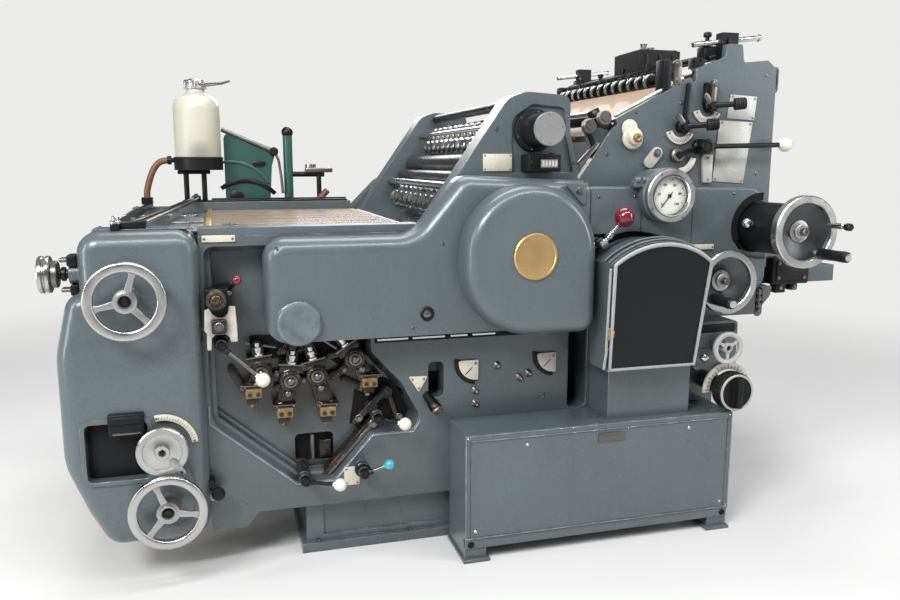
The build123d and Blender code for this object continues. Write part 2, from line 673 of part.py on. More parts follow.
feed_wheels = drum(wheel_x, wheel_z, FEED_SHAFT_R, -PLATE_IN, PLATE_IN)
for i in range(FEED_WHEELS):
    middle = FEED_WHEEL_FIRST + i * FEED_WHEEL_PITCH
    feed_wheels += drum(wheel_x, wheel_z, FEED_WHEEL_R, middle - FEED_WHEEL_W / 2, middle + FEED_WHEEL_W / 2)
save("feed_wheels", feed_wheels)

# Roller and bar across the lower end of the board, in a block at each side
block_low, block_high = BOARD_ABOVE, BOARD_ABOVE + CROSS_BLOCK_H
block_from, block_to = -CROSS_BLOCK_W / 2, CROSS_BLOCK_W / 2
block_outline = [on_slope(block_from, block_low), on_slope(block_to, block_low),
                 on_slope(block_to, block_high), on_slope(block_from, block_high)]
cross_block = slab(block_outline, -FRAME_IN - CROSS_BLOCK_T, -FRAME_IN, 5)
roller_x, roller_z = on_slope(0, BOARD_ABOVE + CROSS_ROLLER_R + 8)
cross_x, cross_z = on_slope(0, block_high - CROSS_BAR_R - 4)
feed_cross_roller = cross_block + drive_side(cross_block)
feed_cross_roller += drum(roller_x, roller_z, CROSS_ROLLER_R, -FRAME_IN, FRAME_IN)
feed_cross_roller += drum(cross_x, cross_z, CROSS_BAR_R, -FRAME_IN, FRAME_IN)
save("feed_cross_roller", feed_cross_roller)

# Feeder head: cross shaft between the tabs, suction box, and a clamp with a rod at each end
head_x = FRAME_RIGHT + 14
head_z = plate_top + 18
clamp_y = -PLATE_IN + CLAMP_T / 2
feeder_head = drum(head_x, head_z, HEAD_SHAFT_R, -PLATE_IN, PLATE_IN)
head_left, head_low = head_x - 64, head_z - 30
feeder_head += box(head_left, head_left + HEAD_LEN, -HEAD_W / 2, HEAD_W / 2, head_low, head_low + HEAD_H)
clamp = box(head_x - CLAMP_LEN / 2, head_x + CLAMP_LEN / 2, -PLATE_IN, -PLATE_IN + CLAMP_T,
            head_z - 14, head_z - 14 + CLAMP_H)
clamp += rod((head_x - 112, clamp_y, head_z + 22), (head_x + 110, clamp_y, head_z + 50), CLAMP_ROD_R)
save("feeder_head", feeder_head + clamp + drive_side(clamp))
save("feeder_table", box(FRAME_RIGHT, PLATE_RIGHT + TABLE_REACH, -FRAME_OUT, FRAME_OUT,
                         PLATE_FOOT - FEED_TABLE_T, PLATE_FOOT))

# Casing under the feeder: gauge housing on its ledge, open ring round the crank drum,
# hollow over the pump's arch and a bay round the main lever's pivot
lean_sin, lean_cos = sin(radians(PUMP_LEAN)), cos(radians(PUMP_LEAN))
arch_rise = (PUMP_CROWN - PUMP_SHOULDER) * lean_cos
arch_radius = ((PUMP_SHOULDER_W / 2) ** 2 + arch_rise ** 2) / (2 * arch_rise)
shoulder_z = PUMP_FOOT + PUMP_SHOULDER * lean_cos
casing_left = INK_RIGHT + 2
casing_right = FRAME_RIGHT + CASING_REACH
casing_outline = [(casing_left, CASING_TOP), (casing_right, CASING_TOP - 8), (casing_right, CASING_FOOT),
                  (casing_left, CASING_FOOT)]
casing = slab(casing_outline, -CASING_OUT, -FRAME_OUT, [CASING_EDGE, 70, 40, CASING_EDGE])
casing = rounded_front(casing, -CASING_OUT, CASING_EDGE)
casing -= drum(*DRUM, DRUM_R + DRUM_RING, -CASING_OUT, -FRAME_OUT)
casing += drum(*GAUGE, GAUGE_R, -CASING_OUT - GAUGE_PROUD, -FRAME_OUT)
casing -= drum(*GAUGE, DIAL_R, -CASING_OUT - GAUGE_PROUD, -CASING_OUT - GAUGE_PROUD + DIAL_DEEP)
hollow = drum(PUMP_X - HOLLOW_ASIDE, shoulder_z + arch_rise - arch_radius, arch_radius + HOLLOW_RING,
              -CASING_OUT, -CASING_OUT + HOLLOW_DEEP)
casing -= hollow & box(casing_left + CASING_EDGE, PUMP_X + PUMP_SHOULDER_W / 2, -CASING_OUT,
                       -CASING_OUT + HOLLOW_DEEP, shoulder_z, CASING_TOP)
bay_left = casing_left + CASING_EDGE / 2
casing -= box(bay_left, bay_left + LEVER_BAY_W, -CASING_OUT, -CASING_OUT + LEVER_BAY_DEEP,
              shoulder_z, shoulder_z + LEVER_BAY_H)
casing += drum(*MAIN_PIVOT, SPINDLE_R + BOSS_WALL / 3, -CASING_OUT, -FRAME_OUT)
casing = with_boss(casing, *CRANK_LOW, CASING_OUT, BOSS_WALL / 2)
casing = with_boss(casing, *MAIN_PIVOT, CASING_OUT, BOSS_WALL / 3)
save("feeder_casing", casing)

# Pump housing: arched body whose front leans towards the operator, on a pedestal down to the cabinet
pump_out = CASING_OUT + PUMP_DEPTH
panel_corner = (PUMP_X, -pump_out, PUMP_FOOT)
panel_plane = Plane(origin=panel_corner, x_dir=(1, 0, 0), z_dir=(0, -lean_cos, -lean_sin))


def arch(inset):
    """Arched panel face in its own plane, wider at the shoulders than at the foot."""
    foot, side = PUMP_FOOT_W / 2 - inset, PUMP_SHOULDER_W / 2 - inset
    walls = Polyline((-side, PUMP_SHOULDER), (-foot, inset), (foot, inset), (side, PUMP_SHOULDER))
    crown = ThreePointArc((side, PUMP_SHOULDER), (0, PUMP_CROWN - inset), (-side, PUMP_SHOULDER))
    return panel_plane * make_face(walls + crown)


pump_lean = PUMP_CROWN * lean_sin
pump_body = extrude(arch(0), amount=PUMP_DEPTH + pump_lean, dir=(0, 1, 0))
pump_body &= box(PUMP_X - PUMP_SHOULDER_W, PUMP_X + PUMP_SHOULDER_W, -pump_out - 2 * pump_lean, -CASING_OUT,
                 PUMP_FOOT - PUMP_CROWN, PUMP_FOOT + 2 * PUMP_CROWN)
pedestal_left = PUMP_X - PEDESTAL_W / 2 + PEDESTAL_ASIDE
pump_body += box(pedestal_left, pedestal_left + PEDESTAL_W, -FRAME_OUT - PEDESTAL_PROUD, -FRAME_OUT,
                 CAB_TOP, CASING_FOOT)
save("pump_housing", pump_body)
save("panel_plate", extrude(arch(PANEL_EDGE), amount=PANEL_T))

# Main lever with the large ball
main_x, main_z = MAIN_PIVOT
main_y = -CASING_OUT - MAIN_HUB
ball_at = (main_x + MAIN_ARM_X, main_y, main_z + MAIN_ARM_Z)
main_lever = drum(main_x, main_z, LEVER_HUB_R, main_y - 10, main_y + 10)
main_lever += rod((main_x, main_y, main_z), ball_at, MAIN_ROD_R)
main_lever += ball(*ball_at, MAIN_BALL)
save("main_lever", main_lever + drum(main_x, main_z, SPINDLE_R, main_y, -CASING_OUT))

# Drum that carries the upper crank, with its small ball stop
drum_out = FRAME_OUT + CASING_DEPTH + DRUM_PROUD
crank_drum = drum(*DRUM, DRUM_R, -drum_out, -FRAME_OUT)
crank_drum -= drum(*DRUM, SPINDLE_R + RUN_GAP, -drum_out, -drum_out + BOSS_H)
stop_y = -CASING_OUT - MAIN_HUB
stop_x, stop_z = DRUM[0] - DRUM_R - STOP_REACH, DRUM[1] + 17
crank_drum += rod((stop_x + STOP_REACH + 8, stop_y, DRUM[1] + 12), (stop_x + 4, stop_y, DRUM[1] + 16), 4)
crank_drum += ball(stop_x, stop_y, stop_z, STOP_BALL)
save("crank_drum", crank_drum)


def dished_crank(x, z, face, outer, deep, grip_at, grip_len):
    """Wheel with a wide flat rim, a dish down to the hub, its spindle and a grip on the dish."""
    hub_back = face + FACE_GAP
    inner = outer - CRANK_RIM
    rim_out = deep + CRANK_RIM_T
    profile = [
        (0, 0), (28, 0), (28, 8), (inner, deep - 4), (outer, deep), (outer, rim_out), (inner, rim_out),
        (inner, deep + 8), (30, 16), (20, 16), (20, 28), (12, 28), (12, 36), (0, 36),
    ]
    wheel = turned(profile, x, z, -hub_back)
    gx, gz = x + grip_at[0], z + grip_at[1]
    grip_back = hub_back + rim_out
    wheel += drum(gx, gz, GRIP_PIN_R, -grip_back, -hub_back - deep * 0.6)
    wheel += drum(gx, gz, GRIP_R, -grip_back - grip_len, -grip_back)
    return wheel + drum(x, z, SPINDLE_R, -hub_back, -face + BOSS_H - END_GAP)


save("feed_crank_upper", dished_crank(*DRUM, drum_out, CRANK_R, UPPER_DISH, UPPER_GRIP, UPPER_GRIP_LEN))
lower_back = CASING_OUT + BOSS_H
lower_crank = dished_crank(*CRANK_LOW, lower_back, CRANK_LOW_R, LOWER_DISH, LOWER_GRIP, LOWER_GRIP_LEN)
save("feed_crank_lower", lower_crank)

# Bracket, control box and regulator seat stepping down below the casing
bracket_left = pedestal_left + PEDESTAL_W + 2
bracket_foot = CASING_FOOT - BRACKET_H
right_bracket = slab([(bracket_left, CASING_FOOT), (PLATE_RIGHT, CASING_FOOT), (PLATE_RIGHT, CASING_FOOT - 26),
                      (PLATE_RIGHT - 53, bracket_foot), (bracket_left, bracket_foot)],
                     -FRAME_OUT - BRACKET_T, -FRAME_OUT, [6, 10, 40, 30, 6])
save("right_bracket", right_bracket)
box_left = bracket_left + 14
box_out = FRAME_OUT + BOX_DEPTH
small_wheel = (FRAME_RIGHT - 67, bracket_foot - SMALL_WHEEL_DOWN)
regulator = (FRAME_RIGHT - 32, CAB_TOP + REGULATOR_GAP + REGULATOR_R)
box_foot = regulator[1] + REGULATOR_R + FACE_GAP
regulator_out = FRAME_OUT + REGULATOR_PROUD
box_corners = [(box_left, box_foot), (FRAME_RIGHT, box_foot), (FRAME_RIGHT, bracket_foot),
               (box_left, bracket_foot)]
control_box = slab(box_corners, -box_out, -FRAME_OUT, WINDOW_ROUND)
control_box = with_boss(control_box, *small_wheel, box_out)
regulator_seat = drum(*regulator, REGULATOR_R / 2, -regulator_out, -FRAME_OUT)
regulator_seat -= drum(*regulator, SPINDLE_R + RUN_GAP, -regulator_out, -regulator_out + BOSS_H)
save("control_box", control_box, regulator_seat)
save("small_handwheel", handwheel(
    *small_wheel, box_out, SMALL_WHEEL_R, SMALL_RIM, SMALL_RIM_T, SMALL_HUB, SMALL_REACH, SMALL_SPOKE, 30))
knob_back = regulator_out + FACE_GAP
knob_front = knob_back + REGULATOR_T
knob_profile = [(0, 0), (REGULATOR_R, 0), (REGULATOR_R, REGULATOR_T - 6), (REGULATOR_R - 6, REGULATOR_T),
                (0, REGULATOR_T)]
regulator_knob = turned(knob_profile, *regulator, -knob_back)
grip_left, grip_right = regulator[0] - REGULATOR_BAR_W / 2, regulator[0] + REGULATOR_BAR_W / 2
grip_low, grip_high = regulator[1] - REGULATOR_BAR / 2, regulator[1] + REGULATOR_BAR / 2
grip_corners = [(grip_left, grip_low), (grip_right, grip_low), (grip_right, grip_high), (grip_left, grip_high)]
regulator_knob += slab(grip_corners, -knob_front - REGULATOR_BAR_H, -knob_front, 5)
regulator_knob += drum(*regulator, SPINDLE_R, -knob_back, -regulator_out + BOSS_H - END_GAP)
save("regulator_knob", regulator_knob)

# Electrical cabinet on its feet in front of the base
cab_right = CAB_LEFT + CAB_W
save("cabinet_body", box(CAB_LEFT, cab_right, -CAB_OUT, -FRAME_OUT, CAB_SILL, CAB_TOP))
save("cabinet_feet", *[box(x, x + CAB_FOOT_W, -CAB_OUT, -FRAME_OUT, 0, CAB_SILL)
                       for x in (CAB_LEFT, cab_right - CAB_FOOT_W)])
save("cabinet_panel", box(CAB_LEFT + CAB_MARGIN, cab_right - CAB_MARGIN, -CAB_OUT - CAB_PANEL_T, -CAB_OUT,
                          CAB_SILL + CAB_MARGIN / 2, CAB_TOP - CAB_MARGIN))


def ball_lever(pivot, arm, reach, ball_r):
    """Lever with a ball end, turning on a pivot boss of the operator frame."""
    px, pz = on_frame(*pivot)
    hub_back = lever_seat + FACE_GAP
    ball_end = (px + arm[0], -hub_back - reach, pz + arm[1])
    lever = drum(px, pz, LEVER_HUB_R, -hub_back - LEVER_HUB_W, -hub_back)
    lever += rod((px, -hub_back - LEVER_HUB_W / 2, pz), ball_end, LEVER_ROD_R)
    lever += ball(*ball_end, ball_r)
    return lever + drum(px, pz, PIN_R, -hub_back, -lever_seat + BOSS_H)


for name, sizes in LEVERS.items():
    save(name + "_lever", ball_lever(*sizes))

# Roller sockets in the recess: bearing ring on an arm, block below it, stem above
recess_floor = FRAME_OUT - RECESS_DEEP


def roller_socket(bearing, block, stem):
    """Socket that carries one roller end; the three places are measured on the frame."""
    (bx, bz), (kx, kz), (sx, sz) = on_frame(*bearing), on_frame(*block), on_frame(*stem)
    ring_out = recess_floor + SOCKET_PROUD
    arm_y = -recess_floor - SOCKET_PROUD / 2
    socket = drum(bx, bz, SOCKET_R, -ring_out, -recess_floor)
    socket += drum(bx, bz, SOCKET_HUB, -ring_out - 10, -ring_out)
    socket += box(kx - SOCKET_BLOCK_W / 2, kx + SOCKET_BLOCK_W / 2, -ring_out - 2, -recess_floor,
                  kz - SOCKET_BLOCK_H / 2, kz + SOCKET_BLOCK_H / 2)
    socket += rod((bx, arm_y, bz), (kx, arm_y, kz), STEM_R)
    socket += rod((bx, arm_y, bz), (sx, arm_y, sz), STEM_R / 2)
    return socket + drum(sx, sz, STEM_R, -ring_out + 12, -recess_floor)


save("roller_sockets", *[roller_socket(*places) for places in SOCKETS])

# Throw-off yoke in the recess: bracket, forked plate on its front with a spring drum in the upper notch
yoke_x, yoke_z = on_frame(*YOKE_AT)
yoke_low = yoke_z - YOKE_H / 2
yoke_high = yoke_z + YOKE_H / 2
yoke_out = FRAME_OUT + YOKE_PROUD
throw_off_yoke = box(yoke_x - 30, yoke_x + 34, -yoke_out, -FRAME_OUT, yoke_low, yoke_high)
throw_off_yoke += box(yoke_x - 8, yoke_x + 34, -FRAME_OUT, -recess_floor, yoke_low, yoke_high)
fork_outline = [
    (-33, -2), (-21, 2), (-15, -12), (-3, -22), (11, -22), (21, -12), (25, 6), (40, 4), (43, -50), (43, -84),
    (26, -84), (24, -72), (14, -64), (-8, -64), (-18, -72), (-20, -102), (-31, -102), (-30, -58), (-36, -54),
]
fork_points = [(yoke_x + along, yoke_z + up) for along, up in fork_outline]
throw_off_yoke += slab(fork_points, -yoke_out - FORK_T, -yoke_out, 3)
throw_off_yoke += drum(yoke_x - 4, yoke_z + YOKE_DRUM_R, YOKE_DRUM_R, -yoke_out - YOKE_DRUM_LEN, -yoke_out)
throw_off_yoke += box(yoke_x - YOKE_BLOCK / 2, yoke_x + YOKE_BLOCK / 2, -yoke_out - 2 * FORK_T, -yoke_out,
                      yoke_z - 24 - YOKE_BLOCK, yoke_z - 24)
save("throw_off_yoke", throw_off_yoke)

# Delivery table with its rails, the board on it, the cross bar and the pile board
table_top = FRAME_TOP + TABLE_RISE
table_left = FRAME_LEFT + 22
table_right = INK_RIGHT - INK_LEN - 2
rear_rail_top = table_top + REAR_RAIL_H
save("delivery_table", box(table_left, table_right, -FRAME_IN, FRAME_IN, table_top - TABLE_T, table_top))
save("delivery_rails", box(FRAME_LEFT, table_right, -FRAME_OUT, -FRAME_IN, FRAME_TOP, HOUSING_TOP),
     box(FRAME_LEFT - 78, table_right - 38, FRAME_IN - REAR_RAIL_W, FRAME_IN, table_top, rear_rail_top))
save("delivery_board", box(table_left + 10, table_right - 28, -FRAME_IN + 6, FRAME_IN - REAR_RAIL_W,
                           table_top, table_top + BOARD_SHEET))
bar_x = HOUSING_LEFT + BAR_IN
bar_top = HOUSING_TOP + BAR_H
block_top = bar_top + BLOCK_H
bar_half = HOUSING_OUT - BLOCK_W
hose_y = FRAME_IN - 7
delivery_bar = box(bar_x - BAR_W / 2, bar_x + BAR_W / 2, -bar_half, bar_half, HOUSING_TOP, bar_top)
delivery_bar += box(bar_x - BLOCK_W / 2, bar_x + BLOCK_W / 2, hose_y - BLOCK_D / 2, hose_y + BLOCK_D / 2,
                    bar_top, block_top)
save("delivery_bar", delivery_bar)

# Plate that carries the table on to the delivery end, with a raised plate and two arms towards the pile
plate_left = table_left - END_PLATE_LEN
plate_low = table_top - END_PLATE_T
end_plate = box(plate_left, table_left, -FRAME_IN, FRAME_IN, plate_low, table_top)
end_plate += box(table_left - 12 - LIFT_PLATE_LEN, table_left - 12, LIFT_PLATE_FROM, LIFT_PLATE_TO,
                 table_top, table_top + BOARD_SHEET)
for middle in (-END_ARM_Y, END_ARM_BACK):
    end_plate += box(plate_left - END_ARM_LEN, plate_left, middle - END_ARM_W / 2, middle + END_ARM_W / 2,
                     plate_low, table_top)
save("delivery_end_plate", end_plate)

# Setting bars from a block beside the cross bar to a block on the rear rail
near_left = bar_x + BAR_W / 2
near_front = -HOUSING_OUT + HOUSING_EDGE + 10
near_back = near_front + LINK_BLOCK
far_left = FRAME_LEFT - FAR_LINK_W - 4
far_back = FRAME_IN - 2
far_front = far_back - LINK_BLOCK
linkage = box(near_left, near_left + LINK_LEN, near_front, near_back, HOUSING_TOP, HOUSING_TOP + LINK_BLOCK_H)
linkage += box(far_left, far_left + FAR_LINK_W, far_front, far_back,
               rear_rail_top, rear_rail_top + LINK_BLOCK_H)
for near_x, far_x in ((near_left + 14, far_left + 8), (near_left + LINK_LEN - 14, far_left + FAR_LINK_W - 8)):
    linkage += rod((near_x, near_back - 8, HOUSING_TOP + LINK_BLOCK_H / 2),
                   (far_x, far_front + 8, rear_rail_top + LINK_BLOCK_H / 2), LINK_R)
save("delivery_linkage", linkage)
pile_z = HOUSING_FOOT + PILE_UP
save("delivery_pile_board", box(belly + 24, FRAME_LEFT - 18, -FRAME_IN, FRAME_IN, pile_z, pile_z + PILE_T))

# Powder bottle in its cup on two posts, and the hose down to the delivery bar
cup_x, cup_y = FRAME_LEFT - 6, FRAME_IN - 2
cup_z = rear_rail_top + CUP_UP
stand = Pos(cup_x, cup_y, cup_z) * Cylinder(CUP_R, CUP_H, align=on_end)
stand -= Pos(cup_x, cup_y, cup_z + CUP_FLOOR) * Cylinder(CUP_R - CUP_WALL, CUP_H, align=on_end)
post_y = FRAME_IN - REAR_RAIL_W / 2
for x in (cup_x - 44, cup_x + 16):
    stand += rod((x, post_y, rear_rail_top), (x, post_y, cup_z + CUP_FLOOR / 2), POST_R)
nipple_z = cup_z + NIPPLE_UP
nipple_end = cup_x - CUP_R - NIPPLE_LEN
stand += rod((cup_x - CUP_R + CUP_WALL, cup_y, nipple_z), (nipple_end, cup_y, nipple_z), NIPPLE_R)
save("bottle_stand", stand)
bottle_r = CUP_R - CUP_WALL - RUN_GAP
bottle_profile = [
    (0, 0), (bottle_r, 0), (bottle_r, BOTTLE_H - 96), (bottle_r - 9, BOTTLE_H - 70),
    (bottle_r - 33, BOTTLE_H - 52), (bottle_r - 47, BOTTLE_H - 46), (bottle_r - 47, BOTTLE_H - 28),
    (bottle_r - 43, BOTTLE_H - 28), (bottle_r - 43, BOTTLE_H), (0, BOTTLE_H),
]
bottle = revolve(make_face(Polyline(*bottle_profile, close=True)), Axis.Y)
bottle = Pos(cup_x, cup_y, cup_z + CUP_FLOOR) * Rot(90, 0, 0) * bottle
save("spray_bottle", bottle)
hose_points = [
    (nipple_end, cup_y, nipple_z), (nipple_end - 25, cup_y, nipple_z), (nipple_end - 49, cup_y - 1, nipple_z - 12),
    (bar_x + 19, cup_y - 2, nipple_z - 44), (bar_x + 6, hose_y + 1, block_top + 43),
    (bar_x, hose_y, block_top + 18), (bar_x, hose_y, block_top),
]
vectors = [Vector(*p) for p in hose_points]
hose_radii = []
for before, here, after in zip(vectors, vectors[1:], vectors[2:]):
    half_turn = (here - before).get_angle(after - here) / 2
    shorter = min((here - before).length, (after - here).length)
    hose_radii.append(0.45 * shorter / tan(radians(half_turn)))
print("hose radii", [round(r) for r in hose_radii])
hose_path = FilletPolyline(*hose_points, radius=hose_radii)
hose_section = Plane(origin=hose_points[0], z_dir=vectors[1] - vectors[0]) * Circle(HOSE_R)
hose = sweep(hose_section, path=hose_path)
hose_share = hose.volume / (hose_path.length * hose_section.area)
print("hose length", round(hose_path.length), "volume ratio", hose_share)
save("hose", hose)

# Spray unit casting on the drive side frame, with its post
casting_left = cup_x + CUP_R + 5
casting_outline = [
    (casting_left, FRAME_TOP), (casting_left + 156, FRAME_TOP), (casting_left + 168, FRAME_TOP + 168),
    (casting_left + 182, FRAME_TOP + 216), (casting_left, FRAME_TOP + 294),
]
casting_back = FRAME_OUT - BOARD_SHEET
casting = slab(casting_outline, casting_back - CASTING_T, casting_back, [0, 0, 20, 14, 20])
post_x, post_y = casting_left + 228, FRAME_OUT - 22
post = rod((post_x, post_y, FRAME_TOP), (post_x, post_y, FRAME_TOP + SPRAY_POST_H), 17)
post += ball(post_x, post_y, FRAME_TOP + SPRAY_POST_H + 10, 20)
save("spray_casting", casting, post)

# Gear guard on the drive side
guard_foot = cover_foot - GUARD_BELOW
guard_out = FRAME_OUT + GUARD_DEPTH
guard_outline = [
    (cover_left + 20, guard_foot), (INK_RIGHT, guard_foot), (INK_RIGHT, shoulder - 20),
    (INK_RIGHT - 350, shoulder - 20), (INK_RIGHT - INK_LEN - 32, cover_top), (cover_left + 20, cover_top),
]
guard = slab(guard_outline, -guard_out, -FRAME_OUT, [60, 60, 40, 60, 80, 60])
save("drive_guard", drive_side(rounded_front(guard, -guard_out, GUARD_EDGE)))

# Ink unit knob and counter box
knob_x, knob_z = INK_RIGHT - 132, INK_TOP - 102
ink_floor = FRAME_OUT - INK_POCKET
ink_knob = turned([(0, 0), (KNOB_FLANGE, 0), (KNOB_FLANGE, 16), (KNOB_R, 24), (KNOB_R, KNOB_REACH - 4),
                   (KNOB_R - 4, KNOB_REACH), (0, KNOB_REACH)], knob_x, knob_z, -ink_floor)
counter_left = INK_RIGHT - 170
counter_low = INK_SHOULDER + 22
counter = box(counter_left, counter_left + COUNTER_W, -FRAME_OUT - COUNTER_PROUD, -ink_floor,
              counter_low, counter_low + COUNTER_H)
save("ink_controls", ink_knob, counter)

# Feeder controls: two setting levers over their quadrants, a collared stud, and the long lever's pivot
feed_pivot = (FRAME_RIGHT - 88, INK_SHOULDER + 92)


def setting_lever(x, z):
    """Half-round scale plate, pivot and the knob that stands out to the right."""
    plate = drum(x, z, QUADRANT_R, -FRAME_OUT - QUADRANT_T, -FRAME_OUT)
    plate -= box(x - QUADRANT_R, x + QUADRANT_R, -FRAME_OUT - QUADRANT_T, -FRAME_OUT, z - 8, z + QUADRANT_R)
    lever = plate + drum(x, z, SETTING_PIVOT_R, -FRAME_OUT - 30, -FRAME_OUT)
    lever += rod((x, -FRAME_OUT - 22, z), (x + 60, -FRAME_OUT - 48, z + 4), SETTING_ROD_R)
    return lever + rod((x + 52, -FRAME_OUT - 45, z + 3), (x + 84, -FRAME_OUT - 58, z + 6), SETTING_KNOB_R)


collared_stud = turned([(0, 0), (30, 0), (30, 8), (18, 8), (18, 30), (10, 30), (10, 44), (0, 44)],
                       INK_RIGHT + 158, INK_SHOULDER + 114, -FRAME_OUT)
pivot_seat = drum(*feed_pivot, PIN_R + 10, -FRAME_OUT - FEED_SEAT, -FRAME_OUT)
pivot_seat -= drum(*feed_pivot, PIN_R + RUN_GAP, -FRAME_OUT - FEED_SEAT, -FRAME_OUT)
upper_setting = setting_lever(FRAME_RIGHT - 62, INK_SHOULDER + 206)
lower_setting = setting_lever(FRAME_RIGHT - 146, INK_SHOULDER + 148)
save("feeder_controls", upper_setting, lower_setting, collared_stud, pivot_seat)
lever_back = FRAME_OUT + FEED_SEAT + FACE_GAP
arm_y = -lever_back - FEED_HUB_W / 2
arm_end = (feed_pivot[0] + FEED_ARM, arm_y, feed_pivot[1] + 6)
feeder_lever = drum(*feed_pivot, FEED_HUB, -lever_back - FEED_HUB_W, -lever_back)
feeder_lever += rod((feed_pivot[0], arm_y, feed_pivot[1]), arm_end, FEED_ARM_R)
feeder_lever += ball(*arm_end, FEED_BALL)
feeder_lever += drum(*feed_pivot, PIN_R, -lever_back, -FRAME_OUT - END_GAP)
save("feeder_lever", feeder_lever)
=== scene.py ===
import bpy
from math import atan2, cos, degrees, pi, radians, sin
from mathutils import Matrix, Vector


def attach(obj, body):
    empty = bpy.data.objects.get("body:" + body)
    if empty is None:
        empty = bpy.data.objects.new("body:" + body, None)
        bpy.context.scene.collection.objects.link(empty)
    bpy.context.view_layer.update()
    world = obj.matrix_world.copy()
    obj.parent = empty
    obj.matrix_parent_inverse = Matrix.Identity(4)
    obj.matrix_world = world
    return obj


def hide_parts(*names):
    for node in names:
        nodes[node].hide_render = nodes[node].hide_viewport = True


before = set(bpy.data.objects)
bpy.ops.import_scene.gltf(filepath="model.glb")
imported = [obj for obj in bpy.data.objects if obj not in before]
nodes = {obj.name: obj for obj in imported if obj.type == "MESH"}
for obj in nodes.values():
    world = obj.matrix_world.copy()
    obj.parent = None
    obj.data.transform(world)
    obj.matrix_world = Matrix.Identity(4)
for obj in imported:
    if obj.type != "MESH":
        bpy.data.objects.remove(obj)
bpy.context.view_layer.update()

MM = 0.001


# Studio: the press stands on a plain pale floor under soft light from large overhead panels.
# The camera stands at the operator's side, left of the middle, at about chest height.
def wire(tree, kind, sockets=None, **settings):
    """Add a shader node; a socket given as a value is linked, anything else is set on it."""
    node = tree.nodes.new(kind)
    for key, value in settings.items():
        setattr(node, key, value)
    for key, value in (sockets or {}).items():
        if isinstance(value, bpy.types.NodeSocket):
            tree.links.new(value, node.inputs[key])
        else:
            node.inputs[key].default_value = value
    return node


def blank_material(name):
    material = bpy.data.materials.new(name)
    material.use_nodes = True
    tree = material.node_tree
    return material, tree, tree.nodes["Principled BSDF"]


def deselect():
    bpy.ops.object.select_all(action="DESELECT")


CAMERA_AT = (-0.572, -2.610, 1.048)
CAMERA_YAW = 15.875
CAMERA_PITCH = 9.505
LENS = 32.56
deselect()
bpy.ops.object.camera_add(location=CAMERA_AT, rotation=(radians(90 - CAMERA_PITCH), 0, radians(-CAMERA_YAW)))
camera = bpy.context.object
camera.data.lens = LENS
camera.data.sensor_width = 36
bpy.context.scene.camera = camera

FLOOR_SIZE = 60
PALE = (0.84, 0.84, 0.83, 1)
deselect()
bpy.ops.mesh.primitive_plane_add(size=FLOOR_SIZE, location=(0, 0, -0.0005))
floor = bpy.context.object
floor.name = "studio_floor"
floor_material, tree, paint = blank_material("pale_floor")
paint.inputs["Base Color"].default_value = (0.72, 0.72, 0.71, 1)
paint.inputs["Roughness"].default_value = 0.5
place = wire(tree, "ShaderNodeTexCoord")
away = wire(tree, "ShaderNodeVectorMath", {0: place.outputs["Object"]}, operation="LENGTH")
fade = wire(
    tree, "ShaderNodeMapRange", {"Value": away.outputs["Value"], 1: 1.6, 2: 4.5, 3: 0.0, 4: 1.0},
    interpolation_type="SMOOTHSTEP")
glow = wire(tree, "ShaderNodeEmission", {"Color": PALE, "Strength": 1.0})
ray = wire(tree, "ShaderNodeLightPath")
direct = wire(
    tree, "ShaderNodeMath", {0: ray.outputs["Is Camera Ray"], 1: ray.outputs["Is Glossy Ray"]},
    operation="MAXIMUM")
direct = wire(
    tree, "ShaderNodeMath", {0: direct.outputs[0], 1: ray.outputs["Is Transmission Ray"]},
    operation="MAXIMUM")
fade = wire(tree, "ShaderNodeMath", {0: fade.outputs[0], 1: direct.outputs[0]}, operation="MULTIPLY")
both = wire(tree, "ShaderNodeMixShader", {0: fade.outputs[0], 1: paint.outputs[0], 2: glow.outputs[0]})
tree.links.new(both.outputs[0], tree.nodes["Material Output"].inputs["Surface"])
floor.data.materials.append(floor_material)


def softbox(name, place, target, width, height, power):
    deselect()
    bpy.ops.object.light_add(type="AREA", location=place)
    lamp = bpy.context.object
    lamp.name = name
    lamp.data.shape = "RECTANGLE"
    lamp.data.size = width
    lamp.data.size_y = height
    lamp.data.energy = power
    aim = Vector(target) - Vector(place)
    lamp.rotation_euler = aim.to_track_quat("-Z", "Y").to_euler()


softbox("key_panel", (-2.4, -3.0, 3.2), (0.0, -0.3, 0.7), 1.6, 1.0, 150)
softbox("strip_panel", (0.4, -2.0, 2.9), (0.2, -0.5, 0.8), 3.6, 0.16, 58)
softbox("left_panel", (-3.0, -1.2, 1.3), (-0.6, -0.4, 0.6), 0.25, 2.0, 28)
softbox("right_panel", (3.0, -2.2, 1.7), (0.5, -0.5, 0.6), 0.5, 1.8, 34)
softbox("top_panel", (0.2, 0.3, 3.4), (0.1, 0.0, 0.7), 2.6, 1.0, 58)
softbox("back_panel", (1.0, 3.6, 2.6), (0.0, 0.2, 0.8), 2.4, 1.2, 70)
world = bpy.data.worlds.new("studio")
bpy.context.scene.world = world
world.use_nodes = True
sky = world.node_tree
sky.nodes.clear()
ray = wire(sky, "ShaderNodeLightPath")
direction = wire(sky, "ShaderNodeTexCoord")
height = wire(sky, "ShaderNodeSeparateXYZ", {"Vector": direction.outputs["Generated"]})
bands = wire(sky, "ShaderNodeValToRGB", {"Fac": height.outputs["Z"]})
bands.color_ramp.elements[0].color = (0.36, 0.37, 0.39, 1)
bands.color_ramp.elements[1].color = (0.66, 0.67, 0.69, 1)
seen = wire(sky, "ShaderNodeBackground", {"Color": PALE, "Strength": 1.0})
lit = wire(sky, "ShaderNodeBackground", {"Color": bands.outputs["Color"], "Strength": 0.38})
